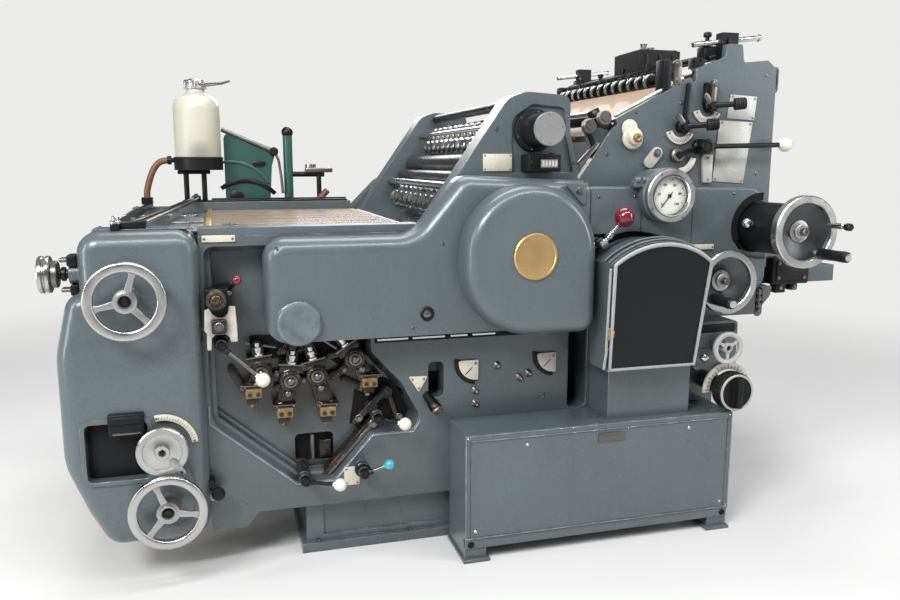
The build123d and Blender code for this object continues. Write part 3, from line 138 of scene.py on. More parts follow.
choice = wire(
    sky, "ShaderNodeMixShader", {0: ray.outputs["Is Camera Ray"], 1: lit.outputs[0], 2: seen.outputs[0]})
wire(sky, "ShaderNodeOutputWorld", {"Surface": choice.outputs[0]})
bpy.context.scene.view_settings.view_transform = "Standard"


# Base casting: grey iron, painted in the machine's blue-grey enamel and bolted under both side frames.
# The same enamel, rubbed bright along its edges and darkened in its corners by painted shade and grime,
# covers all the castings.
def group(name, inputs, outputs):
    """Empty shader group with its sockets; returns the tree and its input and output nodes."""
    tree = bpy.data.node_groups.new(name, "ShaderNodeTree")
    for label, value in inputs:
        tree.interface.new_socket(label, in_out="INPUT", socket_type="NodeSocketFloat").default_value = value
    for label, kind in outputs:
        tree.interface.new_socket(label, in_out="OUTPUT", socket_type=kind)
    return tree, wire(tree, "NodeGroupInput"), wire(tree, "NodeGroupOutput")


def edge_wear_group():
    """Rounded normal, and a broken mask along the outer edges."""
    tree, given, out = group(
        "edge_wear", [("Radius", 0.003), ("Patch", 26.0)],
        [("Normal", "NodeSocketVector"), ("Mask", "NodeSocketFloat")])
    place = wire(tree, "ShaderNodeTexCoord")
    plain = wire(tree, "ShaderNodeNewGeometry")
    soft = wire(tree, "ShaderNodeBevel", {"Radius": given.outputs["Radius"]}, samples=4)
    agree = wire(
        tree, "ShaderNodeVectorMath", {0: soft.outputs[0], 1: plain.outputs["Normal"]},
        operation="DOT_PRODUCT")
    bend = wire(
        tree, "ShaderNodeMapRange", {"Value": agree.outputs["Value"], 1: 0.985, 2: 0.86, 3: 0.0, 4: 1.0})
    patches = wire(
        tree, "ShaderNodeTexNoise",
        {"Vector": place.outputs["Object"], "Scale": given.outputs["Patch"], "Detail": 5.0})
    broken = wire(
        tree, "ShaderNodeMapRange", {"Value": patches.outputs["Fac"], 1: 0.42, 2: 0.62, 3: 0.0, 4: 1.0})
    mask = wire(tree, "ShaderNodeMath", {0: bend.outputs[0], 1: broken.outputs[0]}, operation="MULTIPLY")
    tree.links.new(soft.outputs[0], out.inputs["Normal"])
    tree.links.new(mask.outputs[0], out.inputs["Mask"])
    return tree


def corner_shade_and_grime_group():
    """Painted shade and dark deposit in the corners, from ambient occlusion, broken up by noise."""
    tree, given, out = group(
        "corner_shade_and_grime", [("Reach", 0.05), ("Patch", 12.0)], [("Mask", "NodeSocketFloat")])
    place = wire(tree, "ShaderNodeTexCoord")
    open_sky = wire(tree, "ShaderNodeAmbientOcclusion", {"Distance": given.outputs["Reach"]}, samples=4)
    patches = wire(
        tree, "ShaderNodeTexNoise",
        {"Vector": place.outputs["Object"], "Scale": given.outputs["Patch"], "Detail": 6.0})
    shut = wire(
        tree, "ShaderNodeMapRange", {"Value": open_sky.outputs["AO"], 1: 0.85, 2: 0.25, 3: 0.0, 4: 1.0})
    both = wire(tree, "ShaderNodeMath", {0: shut.outputs[0], 1: patches.outputs["Fac"]}, operation="MULTIPLY")
    tree.links.new(both.outputs[0], out.inputs["Mask"])
    return tree


def mottle_group():
    """Slow and fine unevenness of a sprayed or machined surface."""
    tree, given, out = group(
        "mottle", [("Coarse", 4.0), ("Fine", 190.0)],
        [("Cloud", "NodeSocketFloat"), ("Peel", "NodeSocketFloat"), ("Streak", "NodeSocketFloat")])
    place = wire(tree, "ShaderNodeTexCoord")
    cloud = wire(
        tree, "ShaderNodeTexNoise",
        {"Vector": place.outputs["Object"], "Scale": given.outputs["Coarse"], "Detail": 5.0})
    peel = wire(
        tree, "ShaderNodeTexNoise",
        {"Vector": place.outputs["Object"], "Scale": given.outputs["Fine"], "Detail": 2.0})
    run = wire(tree, "ShaderNodeMapping", {"Vector": place.outputs["Object"], "Scale": (60.0, 60.0, 3.0)})
    streak = wire(tree, "ShaderNodeTexNoise", {"Vector": run.outputs[0], "Scale": 1.0, "Detail": 3.0})
    tree.links.new(cloud.outputs["Fac"], out.inputs["Cloud"])
    tree.links.new(peel.outputs["Fac"], out.inputs["Peel"])
    tree.links.new(streak.outputs["Fac"], out.inputs["Streak"])
    return tree


EDGE_WEAR = edge_wear_group()
CORNER_SHADE_AND_GRIME = corner_shade_and_grime_group()
MOTTLE = mottle_group()


def use(tree, kind, **values):
    """Place a shared effect in a material with its own values."""
    node = wire(tree, "ShaderNodeGroup", node_tree=kind)
    for label, value in values.items():
        node.inputs[label].default_value = value
    return node


def mixed(tree, mask, first, second):
    """Mix two colours by a mask."""
    return wire(tree, "ShaderNodeMix", {0: mask, 6: first, 7: second}, data_type="RGBA").outputs[2]


def scaled(tree, mask, factor):
    return wire(tree, "ShaderNodeMath", {0: mask, 1: factor}, operation="MULTIPLY").outputs[0]


def spread(tree, value, low, high, first, last):
    """Map a value's low and high onto first and last."""
    return wire(tree, "ShaderNodeMapRange", {"Value": value, 1: low, 2: high, 3: first, 4: last}).outputs[0]


def shade(colour, factor):
    return (colour[0] * factor, colour[1] * factor, colour[2] * factor, 1.0)


# Dark colour for grime and oil, and for painted shade in corners and hollows.
SOOT_AND_SHADE = (0.016, 0.014, 0.012, 1)


def smear(tree, centre, reach):
    """Soft patch about a point of the piece, as long each way as its reach."""
    place = wire(tree, "ShaderNodeTexCoord")
    offset = wire(tree, "ShaderNodeVectorMath", {0: place.outputs["Object"], 1: centre}, operation="SUBTRACT")
    scaled_to = wire(tree, "ShaderNodeVectorMath", {0: offset.outputs[0], 1: reach}, operation="DIVIDE")
    away = wire(tree, "ShaderNodeVectorMath", {0: scaled_to.outputs[0]}, operation="LENGTH")
    return spread(tree, away.outputs["Value"], 0.3, 1.0, 1.0, 0.0)


def enamel(name, colour, bare, rough=0.31, wear=0.75, shade_and_dirt=0.6, edge=0.0035, coat=0.4, cloud=0.2,
           shine=0.5, coarse=4.0, oil_and_shade=()):
    """Satin enamel over metal: clouded, lightly pebbled with painted glints, rubbed at the edges, darkened in
    the corners by painted shade and grime.
    """
    material, tree, paint = blank_material(name)
    rubbed = use(tree, EDGE_WEAR, Radius=edge)
    shade_and_grime = use(tree, CORNER_SHADE_AND_GRIME)
    uneven = use(tree, MOTTLE, Coarse=coarse)
    tint = mixed(tree, uneven.outputs["Cloud"], shade(colour, 1 - cloud), shade(colour, 1 + cloud))
    # Lighter specks on the pebbling: random tone and painted glints.
    tint = mixed(tree, spread(tree, uneven.outputs["Peel"], 0.42, 0.66, 0.0, 0.3), tint, shade(colour, 1.45))
    tint = mixed(
        tree, spread(tree, uneven.outputs["Streak"], 0.55, 0.8, 0.0, 0.14), tint, shade(colour, 0.55))
    # Painted shade and grime darken the corners, by ambient occlusion.
    tint = mixed(tree, scaled(tree, shade_and_grime.outputs["Mask"], shade_and_dirt), tint, SOOT_AND_SHADE)
    # Dark patches about given points: oil, and painted shade in hollows.
    for centre, reach, depth in oil_and_shade:
        spots = spread(tree, uneven.outputs["Cloud"], 0.2, 0.62, 0.35, 1.0)
        patch = wire(tree, "ShaderNodeMath", {0: smear(tree, centre, reach), 1: spots}, operation="MULTIPLY")
        tint = mixed(tree, scaled(tree, patch.outputs[0], depth), tint, SOOT_AND_SHADE)
    worn = scaled(tree, rubbed.outputs["Mask"], wear)
    tint = mixed(tree, worn, tint, bare)
    gloss = spread(tree, uneven.outputs["Cloud"], 0.3, 0.7, rough - 0.07, rough + 0.10)
    bumps = wire(
        tree, "ShaderNodeBump",
        {"Height": uneven.outputs["Peel"], "Normal": rubbed.outputs["Normal"], "Strength": 0.22,
         "Distance": 0.002})
    tree.links.new(tint, paint.inputs["Base Color"])
    tree.links.new(gloss, paint.inputs["Roughness"])
    tree.links.new(worn, paint.inputs["Metallic"])
    tree.links.new(bumps.outputs[0], paint.inputs["Normal"])
    paint.inputs["Coat Weight"].default_value = coat
    paint.inputs["Coat Roughness"].default_value = 0.2
    paint.inputs["Specular IOR Level"].default_value = shine
    return material


def metal(name, colour, rough, shade_and_dirt=0.6, cloud=0.15, edge=0.0012, reach=0.02):
    """Bare metal: uneven polish, fine scratches, painted shade and dark oil in the corners."""
    material, tree, paint = blank_material(name)
    rubbed = use(tree, EDGE_WEAR, Radius=edge, Patch=60.0)
    shade_and_grime = use(tree, CORNER_SHADE_AND_GRIME, Reach=reach, Patch=40.0)
    uneven = use(tree, MOTTLE, Coarse=18.0, Fine=900.0)
    tint = mixed(tree, uneven.outputs["Cloud"], shade(colour, 1 - cloud), shade(colour, 1 + cloud))
    # Painted shade and oil darken the corners and dull the metal there.
    oil_and_shade = scaled(tree, shade_and_grime.outputs["Mask"], shade_and_dirt)
    tint = mixed(tree, oil_and_shade, tint, SOOT_AND_SHADE)
    tint = mixed(tree, scaled(tree, rubbed.outputs["Mask"], 0.5), tint, shade(colour, 1.25))
    gloss = spread(tree, uneven.outputs["Cloud"], 0.3, 0.7, max(rough - 0.06, 0.03), rough + 0.12)
    bumps = wire(
        tree, "ShaderNodeBump", {"Height": uneven.outputs["Peel"], "Strength": 0.015, "Distance": 0.001})
    tree.links.new(tint, paint.inputs["Base Color"])
    tree.links.new(gloss, paint.inputs["Roughness"])
    tree.links.new(spread(tree, oil_and_shade, 0.0, 0.8, 1.0, 0.35), paint.inputs["Metallic"])
    tree.links.new(bumps.outputs[0], paint.inputs["Normal"])
    return material


WORN_METAL = (0.42, 0.44, 0.45, 1)
BLUE_GREY = (0.080, 0.099, 0.107)
press_enamel = enamel("blue_grey_enamel", BLUE_GREY, WORN_METAL)
oiled_steel = metal("oiled_steel", (0.20, 0.19, 0.18), 0.34, shade_and_dirt=0.9)


def dress(material, *names):
    """Give carried-over pieces their finish."""
    for name in names:
        piece = nodes[name]
        piece.data.materials.clear()
        piece.data.materials.append(material)


def mm(x, y, z):
    return Vector((x * MM, y * MM, z * MM))


def settled(material, angle=32):
    """Leave edit mode, put the place of the piece in hand into its mesh and give it its finish."""
    if bpy.context.object.mode == "EDIT":
        bpy.ops.object.mode_set(mode="OBJECT")
    bpy.ops.object.transform_apply(location=True, rotation=True, scale=True)
    bpy.ops.object.shade_smooth_by_angle(angle=radians(angle))
    piece = bpy.context.object
    piece.data.materials.clear()
    piece.data.materials.append(material)
    return piece


def turned(profile, at, axis, material, steps=36):
    """Piece turned on a lathe from (radius, height) pairs along an axis that starts at a point."""
    deselect()
    bpy.ops.mesh.primitive_plane_add(size=MM)
    bpy.ops.object.mode_set(mode="EDIT")
    bpy.ops.mesh.merge(type="CENTER")
    bpy.ops.transform.translate(value=(profile[0][0] * MM, 0, profile[0][1] * MM))
    for (r0, h0), (r1, h1) in zip(profile, profile[1:]):
        step = ((r1 - r0) * MM, 0, (h1 - h0) * MM)
        bpy.ops.mesh.extrude_region_move(TRANSFORM_OT_translate={"value": step})
    bpy.ops.mesh.select_all(action="SELECT")
    bpy.ops.mesh.spin(steps=steps, angle=2 * pi, center=(0, 0, 0), axis=(0, 0, 1))
    bpy.ops.mesh.select_all(action="SELECT")
    bpy.ops.mesh.remove_doubles(threshold=0.00001)
    bpy.ops.mesh.normals_make_consistent(inside=False)
    bpy.ops.object.mode_set(mode="OBJECT")
    turn = Vector((0, 0, 1)).rotation_difference(Vector(axis).normalized()).to_matrix().to_4x4()
    bpy.context.object.matrix_world = Matrix.Translation(mm(*at)) @ turn
    return settled(material)


def bar(start, end, radius, material, chamfer=1.0, steps=20):
    """Round bar between two points, its ends chamfered."""
    run = Vector(end) - Vector(start)
    length = run.length
    profile = [
        (0, 0), (radius - chamfer, 0), (radius, chamfer), (radius, length - chamfer),
        (radius - chamfer, length), (0, length)]
    return turned(profile, start, run, material, steps)


def block(low, high, material, rounding=2.0, steps=2):
    """Block with rounded edges between two corners."""
    deselect()
    middle = [(a + b) / 2 * MM for a, b in zip(low, high)]
    bpy.ops.mesh.primitive_cube_add(size=1, location=middle)
    bpy.context.object.scale = [(b - a) * MM for a, b in zip(low, high)]
    bpy.ops.object.transform_apply(location=False, rotation=False, scale=True)
    bpy.ops.object.mode_set(mode="EDIT")
    bpy.ops.mesh.bevel(offset=rounding * MM, segments=steps, affect="EDGES")
    return settled(material)


def plate(outline, front, back, material, rounding=0.8, steps=2):
    """Plate cut to an outline of (x, z) points, its front towards the operator, its edges broken."""
    deselect()
    bpy.ops.mesh.primitive_circle_add(vertices=len(outline), radius=1, fill_type="NGON")
    for vertex, (x, z) in zip(bpy.context.object.data.vertices, outline):
        vertex.co = mm(x, back, z)
    bpy.ops.object.mode_set(mode="EDIT")
    bpy.ops.mesh.extrude_region_move(TRANSFORM_OT_translate={"value": (0, (front - back) * MM, 0)})
    bpy.ops.mesh.select_all(action="SELECT")
    bpy.ops.mesh.normals_make_consistent(inside=False)
    bpy.ops.mesh.select_all(action="DESELECT")
    bpy.ops.mesh.edges_select_sharp(sharpness=radians(40))
    bpy.ops.mesh.bevel(offset=rounding * MM, segments=steps, affect="EDGES")
    return settled(material)


def arc(x, z, radius, start, end, count=16):
    """Points of an arc in the upright plane, angles in degrees from +X towards +Z."""
    turns = [radians(start + (end - start) * i / (count - 1)) for i in range(count)]
    return [(x + radius * cos(t), z + radius * sin(t)) for t in turns]


def band(x, z, inner, outer, start, end, count=18):
    """Outline of a curved strip."""
    return arc(x, z, outer, start, end, count) + arc(x, z, inner, end, start, count)


def capsule(x0, z0, x1, z1, radius, count=9):
    """Outline of a bar with round ends."""
    lie = degrees(atan2(z1 - z0, x1 - x0))
    return arc(x1, z1, radius, lie - 90, lie + 90, count) + arc(x0, z0, radius, lie + 90, lie + 270, count)


def strip(x, z, angle, inner, outer, width):
    """Outline of a straight mark that points away from a centre."""
    along = Vector((cos(radians(angle)), sin(radians(angle))))
    across = Vector((-along.y, along.x)) * width / 2
    corners = [along * inner - across, along * outer - across, along * outer + across, along * inner + across]
    return [(x + c.x, z + c.y) for c in corners]


def trim(points, radius, material, closed=False, sides=4):
    """Round beading laid along a line of points."""
    deselect()
    line = bpy.data.curves.new("beading", "CURVE")
    line.dimensions = "3D"
    line.bevel_depth = radius * MM
    line.bevel_resolution = sides
    line.use_fill_caps = True
    spline = line.splines.new("POLY")
    spline.points.add(len(points) - 1)
    for point, at in zip(spline.points, points):
        point.co = (*mm(*at), 1)
    spline.use_cyclic_u = closed
    bead = bpy.data.objects.new("beading", line)
    bpy.context.collection.objects.link(bead)
    bead.select_set(True)
    bpy.context.view_layer.objects.active = bead
    bpy.ops.object.convert(target="MESH")
    return settled(material, 50)


def piece(name, parts, slot, body="press", stands_for=()):
    """Join the parts of one piece, name it and hang it on the body it moves with."""
    deselect()
    for part in parts:
        part.select_set(True)
    bpy.context.view_layer.objects.active = parts[0]
    if len(parts) > 1:
        bpy.ops.object.join()
    made = bpy.context.object
    made.name = name
    made.data.name = name
    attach(made, body)
    if stands_for:
        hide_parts(*stands_for)
    return made


FRONT = (0, -1, 0)
BACK = (0, 1, 0)
UP = (0, 0, 1)


def hex_bolt(at, axis, radius, material=oiled_steel, washer=True):
    """Hexagon head on a turned washer."""
    along = Vector(axis).normalized()
    parts = []
    if washer:
        parts.append(
            turned([(0, 0), (radius * 1.35, 0), (radius * 1.35, radius * 0.16),
                    (radius * 1.2, radius * 0.26), (0, radius * 0.26)], at, axis, material, 20))
    lift = Vector(at) + along * radius * 0.26
    parts.append(
        turned([(0, 0), (radius, 0), (radius, radius * 0.55), (radius * 0.86, radius * 0.72),
                (0, radius * 0.72)], lift, axis, material, 6))
    return parts


def screw(at, axis, radius, material=oiled_steel, angle=30):
    """Round-headed screw with a sawn slot."""
    head = turned(
        [(0, 0), (radius, 0), (radius, radius * 0.3), (radius * 0.75, radius * 0.55), (0, radius * 0.65)],
        at, axis, material, 14)
    along = Vector(axis).normalized()
    side = along.cross(Vector(UP)) if abs(along.z) < 0.9 else Vector((1, 0, 0))
    side = Matrix.Rotation(radians(angle), 3, along) @ side.normalized()
    across = along.cross(side)
    deselect()
    bpy.ops.mesh.primitive_cube_add(size=1)
    cutter = bpy.context.object
    frame_of_cut = Matrix((side * radius * 3 * MM, across * radius * 0.28 * MM,
                           along * radius * 0.8 * MM)).transposed()
    slot_at = (Vector(at) + along * radius * 0.72) * MM
    cutter.matrix_world = Matrix.Translation(slot_at) @ frame_of_cut.to_4x4()
    bpy.context.view_layer.objects.active = head
    cut = head.modifiers.new("slot", "BOOLEAN")
    cut.object = cutter
    cut.operation = "DIFFERENCE"
    cut.solver = "EXACT"
    bpy.ops.object.modifier_apply(modifier="slot")
    bpy.data.objects.remove(cutter)
    return head


def screw_ring(x, y, z, reach, angles, radius, material=oiled_steel):
    """Screws set round a centre, in a face towards the operator."""
    spots = [(x + reach * cos(radians(a)), y, z + reach * sin(radians(a))) for a in angles]
    return [screw(spot, FRONT, radius, material) for spot in spots]


dress(press_enamel, "base")
foot_bolts = []
for x in (-345, -90, 165, 420, 655):
    for y in (-498, 498):
        foot_bolts += hex_bolt((x, y, 26), UP, 5.5, washer=False)
piece("base_foot_bolts", foot_bolts, "bright_steel")


# Hose: brown rubber tube from the nipple of the bottle cup to the block on the delivery bar.
# It leaves the cup level, bends over under its own weight and goes straight down into the block.
HOSE_ROUTE = [
    (-719, 440, 1060), (-744, 440, 1060), (-768, 439, 1048), (-787, 438, 1016), (-800, 436, 975),
    (-806, 435, 950), (-806, 435, 932)]
HOSE_R = 11.0


def rubber(name, dark, light, coarse, fine, smooth, dull):
    """Rubber in two clouded tones, its shine uneven."""
    material, tree, paint = blank_material(name)
    uneven = use(tree, MOTTLE, Coarse=coarse, Fine=fine)
    tree.links.new(mixed(tree, uneven.outputs["Cloud"], dark, light), paint.inputs["Base Color"])
    gloss = spread(tree, uneven.outputs["Cloud"], 0.3, 0.7, smooth, dull)
    tree.links.new(gloss, paint.inputs["Roughness"])
    return material


hose_rubber = rubber(
    "brown_hose_rubber", (0.10, 0.040, 0.020, 1), (0.19, 0.085, 0.045, 1), 30.0, 600.0, 0.35, 0.55)
route = bpy.data.curves.new("hose_line", "CURVE")
route.dimensions = "3D"
route.bevel_depth = HOSE_R * MM
route.bevel_resolution = 6
route.use_fill_caps = True
spline = route.splines.new("NURBS")
spline.points.add(len(HOSE_ROUTE) - 1)
for point, at in zip(spline.points, HOSE_ROUTE):
    point.co = (*mm(*at), 1)
spline.order_u = 3
spline.use_endpoint_u = True
spline.resolution_u = 16
spray_hose = bpy.data.objects.new("spray_hose", route)
bpy.context.collection.objects.link(spray_hose)
route.materials.append(hose_rubber)
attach(spray_hose, "press")
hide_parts("hose")


# Side frames: two heavy iron castings, the operator's with a slant-walled recess for the roller ends.
# Small enamelled scale plates, studs and a short throw lever sit on its bare face below the covers.
FRAME_FACE = -522
RECESS_FLOOR = -458
black_iron = enamel(
    "black_enamel", (0.007, 0.0075, 0.0085), (0.20, 0.20, 0.21, 1), rough=0.40, wear=0.45, shade_and_dirt=0.3,
    edge=0.0015, coat=0.0, shine=0.22)
cream_enamel = enamel(
    "cream_enamel", (0.56, 0.53, 0.44), (0.10, 0.09, 0.07, 1), rough=0.40, wear=0.35, shade_and_dirt=0.75, edge=0.001)
chrome = metal("polished_steel", (0.62, 0.62, 0.62), 0.16, shade_and_dirt=0.55)
pin_black = metal("blackened_steel", (0.035, 0.035, 0.036), 0.36, shade_and_dirt=0.4)
ink_mark = enamel("dark_marks", (0.02, 0.02, 0.02), (0.1, 0.1, 0.1, 1), wear=0.0, shade_and_dirt=0.0, coat=0.0)
# Dark patches on the operator's frame: painted shade and oil on the recess floor round the sockets, oil on
# the lever pivots.
recess_oil_and_shade = [
    ((-0.38, -0.46, 0.48), (0.24, 0.09, 0.16), 1.0), ((-0.23, -0.46, 0.53), (0.20, 0.09, 0.14), 1.0),
    ((-0.58, -0.46, 0.66), (0.10, 0.10, 0.16), 0.8), ((-0.14, -0.46, 0.40), (0.15, 0.08, 0.12), 0.9),
    ((-0.34, -0.46, 0.24), (0.12, 0.08, 0.09), 0.8), ((-0.384, -0.53, 0.238), (0.045, 0.13, 0.045), 1.0),
    ((-0.19, -0.53, 0.388), (0.045, 0.13, 0.045), 1.0), ((-0.577, -0.53, 0.606), (0.04, 0.12, 0.04), 1.0)]
# The operator's frame takes a darker copy of the enamel as painted shade, plus its patches of oil and painted
# shade.
shaded_frame_enamel = enamel("shaded_oily_frame_enamel", shade(BLUE_GREY, 0.9), WORN_METAL, oil_and_shade=recess_oil_and_shade)
dress(shaded_frame_enamel, "operator_frame")
dress(press_enamel, "drive_frame")
# Flat black for the casing's seams, and for painted shadow in gaps, openings, windows and slots.
seam_and_shadow_black = enamel(
    "seam_shadow", (0.008, 0.008, 0.009), (0.03, 0.03, 0.03, 1), rough=0.6, wear=0.0, shade_and_dirt=0.0, coat=0.0,
    shine=0.15)
# Flat black sheets behind the frame's windows paint the shade inside the machine.
window_shadows = []
WINDOWS = ((-406, -286, 238, 332), (-178, -94, 340, 450), (-48, 12, 408, 468), (364, 438, 346, 604))
for x0, x1, z0, z1 in WINDOWS:
    window_shadows.append(block((x0, -440, z0), (x1, -436, z1), seam_and_shadow_black, 1, 1))
piece("frame_window_shadow_sheets", window_shadows, "black_enamel")

scale_plates = [
    plate([(-94, 477), (-92, 480), (-46, 479), (-44, 475), (-66, 437), (-69, 437)], -527, FRAME_FACE,
          cream_enamel)]
for x, z in ((73, 487), (304, 494)):
    quadrant = (
        [(x + 28, z + 28), (x - 22, z + 28)]
        + arc(x + 22, z + 22, 50, 176, 262, 14)
        + [(x + 28, z - 28)])
    scale_plates.append(plate(quadrant, -530, FRAME_FACE - 4, cream_enamel))
piece("frame_scale_plates", scale_plates, "white_ball")
frame_fittings = []
for x, z in ((73, 487), (304, 494)):
    backing = band(x + 22, z + 22, 20, 62, 170, 268, 14)
    frame_fittings.append(plate(backing, -527, FRAME_FACE, black_iron))
    frame_fittings.append(screw((x + 20, -530, z + 19), FRONT, 3.5))
    frame_fittings.append(plate(strip(x + 2, z, 225, -12, 16, 2.4), -531, -529.5, ink_mark, 0.3, 1))
for x, z in ((-85, 472), (-53, 471), (-67, 446)):
    frame_fittings.append(screw((x, -527, z), FRONT, 3))
for x, z in ((94, 391), (93, 428), (223, 456), (250, 466), (157, 495)):
    frame_fittings.append(
        turned([(0, 0), (11, 0), (11, 3), (8, 5), (8, 8), (6, 9.5), (4.5, 8), (0, 8)], (x, FRAME_FACE, z),
               FRONT, oiled_steel, 24))
for x, z in ((300, 402), (312, 402), (300, 392)):
    frame_fittings.append(screw((x, FRAME_FACE, z), FRONT, 3.5))
piece("frame_fittings", frame_fittings, "black_enamel")
STUB_FROM, STUB_RUN = (-52, -500, 436), (27, -60, -44)
stub_copper = metal("rubbed_copper", (0.50, 0.33, 0.26), 0.33, shade_and_dirt=0.8)
stub = [
    turned([(0, 0), (15, 0), (15, 6), (12, 10), (13, 48), (16, 58), (17, 76), (15, 80)], STUB_FROM,
           STUB_RUN, pin_black, 28),
    turned([(15, 80), (13, 81), (13, 86), (6, 87), (5, 84), (0, 84)], STUB_FROM, STUB_RUN, stub_copper, 28)]
piece("throw_stub", stub, "black_enamel")
# Lighter rubbed enamel for beads and bars that paint the highlight along edges, worn bare in places.
worn_highlight_edge = enamel(
    "worn_highlight_edge", shade(BLUE_GREY, 2.2), (0.55, 0.57, 0.58, 1), rough=0.26, wear=1.0, shade_and_dirt=0.4, edge=0.006)
# The bead along the recess mouth's lip paints the highlight on its rounded edge.
MOUTH_LIP = [(-616, 440), (-616, 392), (-401, 207), (-300, 207), (-195, 324), (-82, 324), (-62, 356)]
beads = [
    trim([(x, FRAME_FACE - 0.5, z) for x, z in MOUTH_LIP], 2.6, worn_highlight_edge),
    plate([(-611, 840), (-611, 394.5), (-398.6, 212), (-303, 212), (-309, 227), (-393, 227), (-595, 400.5),
           (-595, 840)], -496, RECESS_FLOOR, press_enamel, 2.5, 3),
    plate([(-594.5, 401), (-393.4, 227.6), (-376, 227.6), (-594.5, 416)], -474, RECESS_FLOOR, press_enamel,
          2, 3)]
gasket = [
    block((x0, -530, 584), (x1, FRAME_FACE, 590), chrome, 0.8, 1)
    for x0, x1 in ((-180, -96), (-84, 6), (22, 70), (84, 150))]
piece("recess_beading", beads, "blue_enamel")
piece("cover_gasket", gasket, "bright_steel")
piece("cover_shadow_gap", [block((-186, -526, 578), (390, FRAME_FACE, 600), seam_and_shadow_black, 1)], "black_enamel")


# Delivery housings: rounded iron boxes that close the chain drive at the delivery end.
# A thin lid lies on top, and a black hand pocket with its catch is let into the operator's one.
HOUSING_FACE = -592
dress(press_enamel, "delivery_housing_operator", "delivery_housing_drive")
lids = [
    block((-860, side * 498 - 48, 892), (-630, side * 498 + 48, 895), press_enamel, 1.2)
    for side in (-1, 1)]
piece("housing_lids", lids, "blue_enamel")
lid_screws = [screw((x, y, 895), UP, 4) for x in (-850, -690, -640) for y in (-540, -456, 456, 540)]
piece("housing_lid_screws", lid_screws, "bright_steel")
pocket = [block((-898, -566, 294), (-760, -560, 434), black_iron, 1.5)]
pocket.append(block((-846, -606, 404), (-764, -560, 460), black_iron, 5, 3))
pocket.append(block((-840, -611, 436), (-770, -604, 452), black_iron, 2.5, 3))
pocket.append(block((-836, -609, 410), (-772, -604, 414), oiled_steel, 1.2))
piece("pocket_catch", pocket, "black_enamel")
tag = [block((-613, -526, 857), (-533, FRAME_FACE, 874), cream_enamel, 1.0)]
tag += [screw((x, -526, 865), FRONT, 3) for x in (-607, -539)]
piece("frame_tag_strip", tag, "white_ball")
catch = [
    bar((-618, -530, 248), (-618, -566, 248), 9, pin_black),
    turned([(0, 0), (12, 2), (17, 9), (17, 17), (12, 24), (0, 26)], (-602, -556, 222), FRONT, black_iron,
           24),
    bar((-602, -530, 222), (-602, -558, 222), 5, oiled_steel),
    block((-628, -548, 196), (-600, FRAME_FACE, 214), cream_enamel, 2)]
piece("delivery_stop_knob", catch, "black_enamel")


# Handwheels: cast aluminium, turned and polished on the rim, with three spokes and a bored hub.
# Each is held on its spindle by a blackened nut sunk in the hub.
aluminium = metal("cast_aluminium", (0.40, 0.40, 0.39), 0.36, shade_and_dirt=0.9, cloud=0.3)
rim_aluminium = metal("turned_aluminium", (0.46, 0.46, 0.45), 0.27, shade_and_dirt=0.8, cloud=0.25)


def ring_section(middle, half_width, half_depth, level, count=20, square=0.62):
    """Closed section of a flattened ring, as (radius, height) pairs."""
    points = []
    for i in range(count + 1):
        t = 2 * pi * i / count
        reach = (abs(cos(t)) ** square) * (1 if cos(t) >= 0 else -1)
        rise = (abs(sin(t)) ** square) * (1 if sin(t) >= 0 else -1)
        points.append((middle + half_width * reach, level + half_depth * rise))
    points[-1] = points[0]
    return points


def wheel(name, x, z, outer, rim, depth, hub, seat, front, spoke, start, body, slot, rim_metal, spoke_metal):
    """Three-spoked handwheel: rim, tapered spokes, ringed hub and sunk nut."""
    level = -front - depth / 2
    rim_at = outer - rim / 2
    parts = [turned(ring_section(rim_at, rim / 2, depth / 2, level), (x, 0, z), FRONT, rim_metal, 72)]
    for third in range(3):
        angle = start + third * 120
        along = Vector((cos(radians(angle)), sin(radians(angle))))
        across = Vector((-along.y, along.x))
        near = along * hub * 0.7
        far = along * rim_at
        outline = [
            near + across * spoke * 0.62, near - across * spoke * 0.62, far * 0.72 - across * spoke * 0.42,
            far - across * spoke * 0.85, far + across * spoke * 0.85, far * 0.72 + across * spoke * 0.42]
        parts.append(
            plate([(x + p.x, z + p.y) for p in outline], front + depth * 0.28, front + depth * 0.72,
                  spoke_metal, 1.8, 3))
    high = -front - seat
    parts.append(
        turned([(hub * 0.45, 0), (hub, 0), (hub, high - 7), (hub - 1.5, high - 4), (hub - 5, high - 3),
                (hub * 0.72, high - 2), (hub * 0.68, high), (hub * 0.56, high), (hub * 0.5, high - 3),
                (hub * 0.45, high - 8), (hub * 0.45, 0)], (x, -seat, z), FRONT, spoke_metal, 40))
    parts.append(
        turned([(0, 0), (hub * 0.45, 0), (hub * 0.45, high - 8), (hub * 0.3, high - 6),
                (hub * 0.28, high - 3), (hub * 0.12, high - 3), (0, high - 5)], (x, -seat, z), FRONT,
               pin_black, 24))
    return piece(name, parts, slot, body, (body,))


wheel(
    "delivery_wheel", -784, 738, 92, 24, 18, 28, 617, -662, 15, 73, "delivery_handwheel", "cast_aluminium",
    rim_aluminium, aluminium)
wheel(
    "pile_wheel", -718, 222, 92, 22, 18, 28, 617, -662, 15, 110, "pile_handwheel", "cast_aluminium",
    rim_aluminium, aluminium)


